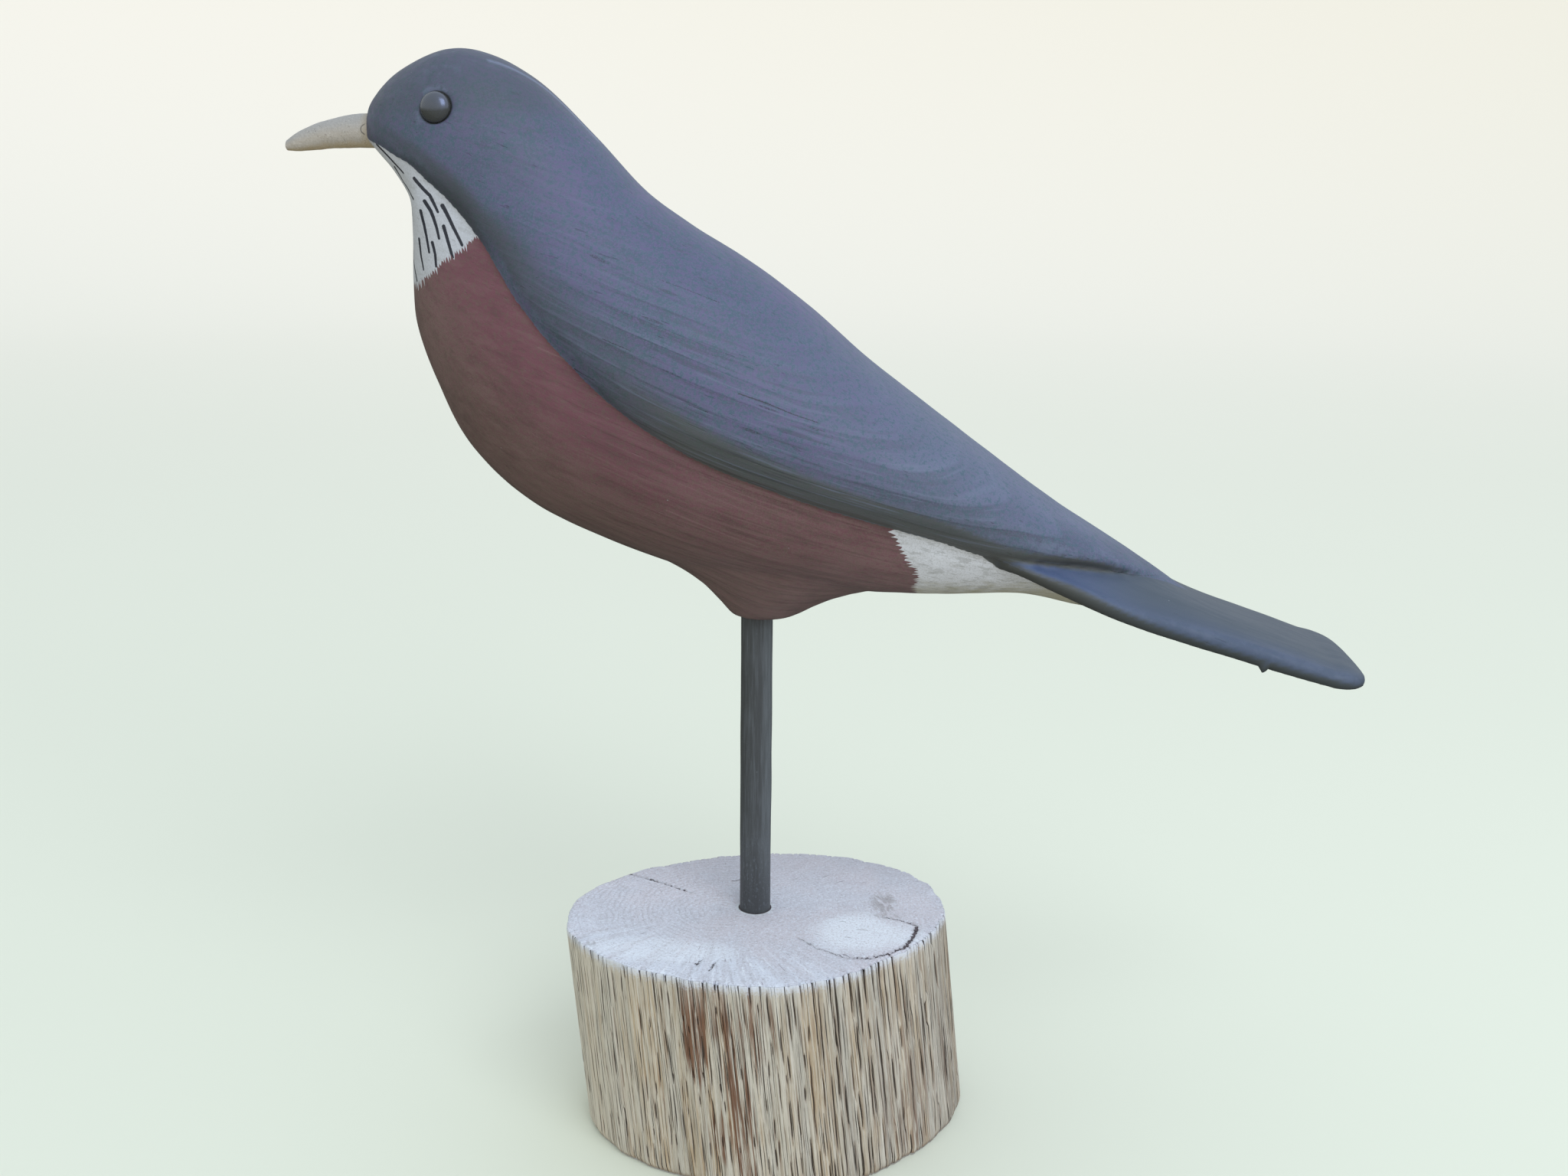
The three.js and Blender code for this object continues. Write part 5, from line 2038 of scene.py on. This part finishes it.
    def top_relief(self, top: Array) -> Array:
        """Rise and fall of the sawn top: cracks, a lifted patch and saw marks.

        Args:
            top: Places on the top.

        Returns:
            Heights in millimetres above the plain top.
        """
        flat = top.reshape(-1, 3) * [1, 1, 0]
        height = 0.05 * self.noise.at(flat, 1.3) + 0.08 * self.noise.at(flat, 5) - 0.05
        for crack in self.cracks:
            inside = rise(0.45, -0.1, crack.distance(flat[:, :2]))
            height -= crack.depth * inside
        patch = self.patches[0]
        offset = (flat - np.array(patch.centre)) / np.array(patch.size)
        height += 0.18 * rise(1.15, 0.95, np.linalg.norm(offset[:, :2], axis=1))
        return height.reshape(top.shape[:2])


# Studio.


@dataclass(frozen=True)
class FloorFinish(Finish):
    """Plain pale floor with a faint grain."""

    name: str = "pale_floor"
    colour: Rgb = (0.68, 0.7, 0.59)
    second: Rgb = (0.66, 0.68, 0.57)
    # Painted light: the back of the floor and its sweep are brighter and warmer.
    far: Rgb = (0.95, 0.88, 0.76)

    def dress(self, g: Graph) -> dict[str, Value]:
        """Lays the floor's colour with a slow, faint change."""
        place = g.node("TexCoord")["Object"]
        cloud = g.noise(place, 3, 2, 0.5)
        # Painted light: brighter and warmer towards the back of the floor and up its sweep.
        away = g.split(place)[1].ramp(-0.15, 2.4)
        colour = g.mix(away, g.mix(cloud, self.colour, self.second), self.far)
        return {"Base Color": colour, "Roughness": 0.9, "Specular IOR Level": 0.1}


@dataclass(frozen=True)
class SoftBox:
    """A large square light that looks at the middle of the carving."""

    name: str
    place: Point3
    size: float
    power: float
    colour: Rgb
    target: Point3 = (0.01, 0, 0.12)

    def build(self) -> Object:
        """Hangs the light."""
        lamp = bpy.data.lights.new(self.name, "AREA")
        lamp.shape = "SQUARE"
        lamp.size = self.size
        lamp.energy = self.power
        lamp.color = self.colour
        holder = add_object(self.name, lamp)
        holder.location = self.place
        holder.rotation_mode = "QUATERNION"
        holder.rotation_quaternion = (Vector(self.target) - Vector(self.place)).to_track_quat("-Z", "Y")
        return holder


@dataclass
class Studio:
    """Pale floor that sweeps up at its edge, soft lights and the camera."""

    floor_radius: float = 1.5
    sweep: float = 1.1
    sides: int = 96
    sweep_steps: int = 18
    lens: float = 38.0
    sensor: float = 36.0
    pitch: float = 15.0
    yaw: float = 2.0
    roll: float = 0.6793807
    eye: Point3 = (16.17691874, -313.46393279, 199.27896082)
    overhead: Rgb = (0.93, 1.03, 1.17)
    horizon: Rgb = (0.97, 0.99, 0.96)
    ground: Rgb = (0.63, 0.645, 0.56)
    reflected_ground: Rgb = (0.1, 0.11, 0.1)
    left_tint: Rgb = (0.92, 0.92, 0.86)
    right_tint: Rgb = (1.1, 1.1, 1.15)
    sky_strength: float = 1.0
    lights: tuple[SoftBox, ...] = (
        SoftBox("high_light", (0.48, -0.9, 1.05), 0.8, 9, (0.86, 0.94, 1)),
    )

    def build(self) -> None:
        """Sets up the floor, the sky, the lights and the camera."""
        self.floor()
        self.sky()
        for light in self.lights:
            light.build()
        self.camera()
        bpy.context.scene.view_settings.view_transform = "Standard"
        log.info("studio ready with %d lights", len(self.lights))

    def sky(self) -> None:
        """Soft light from all round: cool from above, dim and warm from below."""
        world = bpy.data.worlds.new("pale_sky")
        bpy.context.scene.world = world
        world.use_nodes = True
        g = Graph(world.node_tree)
        along, _, up = g.split(g.node("TexCoord")["Generated"])
        colour = g.mix(up.ramp(-0.1, -0.9), self.horizon, self.ground)
        colour = g.mix(up.ramp(0.05, 0.9), colour, self.overhead)
        reflected = g.node("LightPath")["Is Glossy Ray"]
        low = reflected * up.ramp(0.12, -0.02)
        colour = g.mix(low, colour, self.reflected_ground)
        colour = g.mix(1, colour, g.mix(along.ramp(-0.7, 0.7), self.left_tint, self.right_tint), "MULTIPLY")
        light = g.node("Background", {"Color": colour, "Strength": self.sky_strength})
        g.node("OutputWorld", {"Surface": light[0]})

    def floor(self) -> None:
        """Lays a round floor with a rim that sweeps up."""
        profile = [(0.2, 0), (0.7, 0), (self.floor_radius, 0)]
        for step in range(1, self.sweep_steps + 1):
            angle = QUARTER_TURN * step / self.sweep_steps
            reach, lift = self.sweep * math.sin(angle), self.sweep * (1 - math.cos(angle))
            profile.append((self.floor_radius + reach, lift))
        turns = full_turn(self.sides)
        points = [(r * math.cos(a), r * math.sin(a), z) for r, z in profile for a in turns]
        points.append((0, 0, 0))
        faces = []
        for ring in range(len(profile) - 1):
            for side in range(self.sides):
                a, b = ring * self.sides + side, ring * self.sides + (side + 1) % self.sides
                faces.append((a, a + self.sides, b + self.sides, b))
        faces += [(len(points) - 1, side, (side + 1) % self.sides) for side in range(self.sides)]
        mesh = new_mesh("floor", np.array(points), faces, 1)
        floor = put_in_scene("floor", mesh, FloorFinish())
        floor.visible_diffuse = False
        floor.visible_glossy = False

    def camera(self) -> None:
        """Sets the camera at the photograph's angle."""
        lens = bpy.data.cameras.new("camera")
        lens.lens = self.lens
        lens.sensor_width = self.sensor
        lens.clip_start, lens.clip_end = 0.01, 20
        holder = add_object("camera", lens)
        pitch, yaw, roll = (math.radians(turn) for turn in (self.pitch, self.yaw, self.roll))
        level = math.cos(pitch)
        ahead = Vector((-math.sin(yaw) * level, math.cos(yaw) * level, -math.sin(pitch)))
        right = Vector((math.cos(yaw), math.sin(yaw), 0))
        up = right.cross(ahead)
        tilted_right = right * math.cos(roll) + up * math.sin(roll)
        tilted_up = up * math.cos(roll) - right * math.sin(roll)
        turned = Matrix((tilted_right, tilted_up, -ahead)).transposed()
        holder.matrix_world = Matrix.Translation(Vector(self.eye) * MM) @ turned.to_4x4()
        bpy.context.scene.camera = holder


def main() -> None:
    """Builds the pieces in order and reports each."""
    logging.basicConfig(level=logging.INFO, format="%(message)s")
    Studio().build()
    CarvedBody().build()
    Bill().build()
    for side in Side:
        Eye(side).build()
    Dowel().build()
    WeatheredLog().build()


if __name__ == "__main__":
    main()
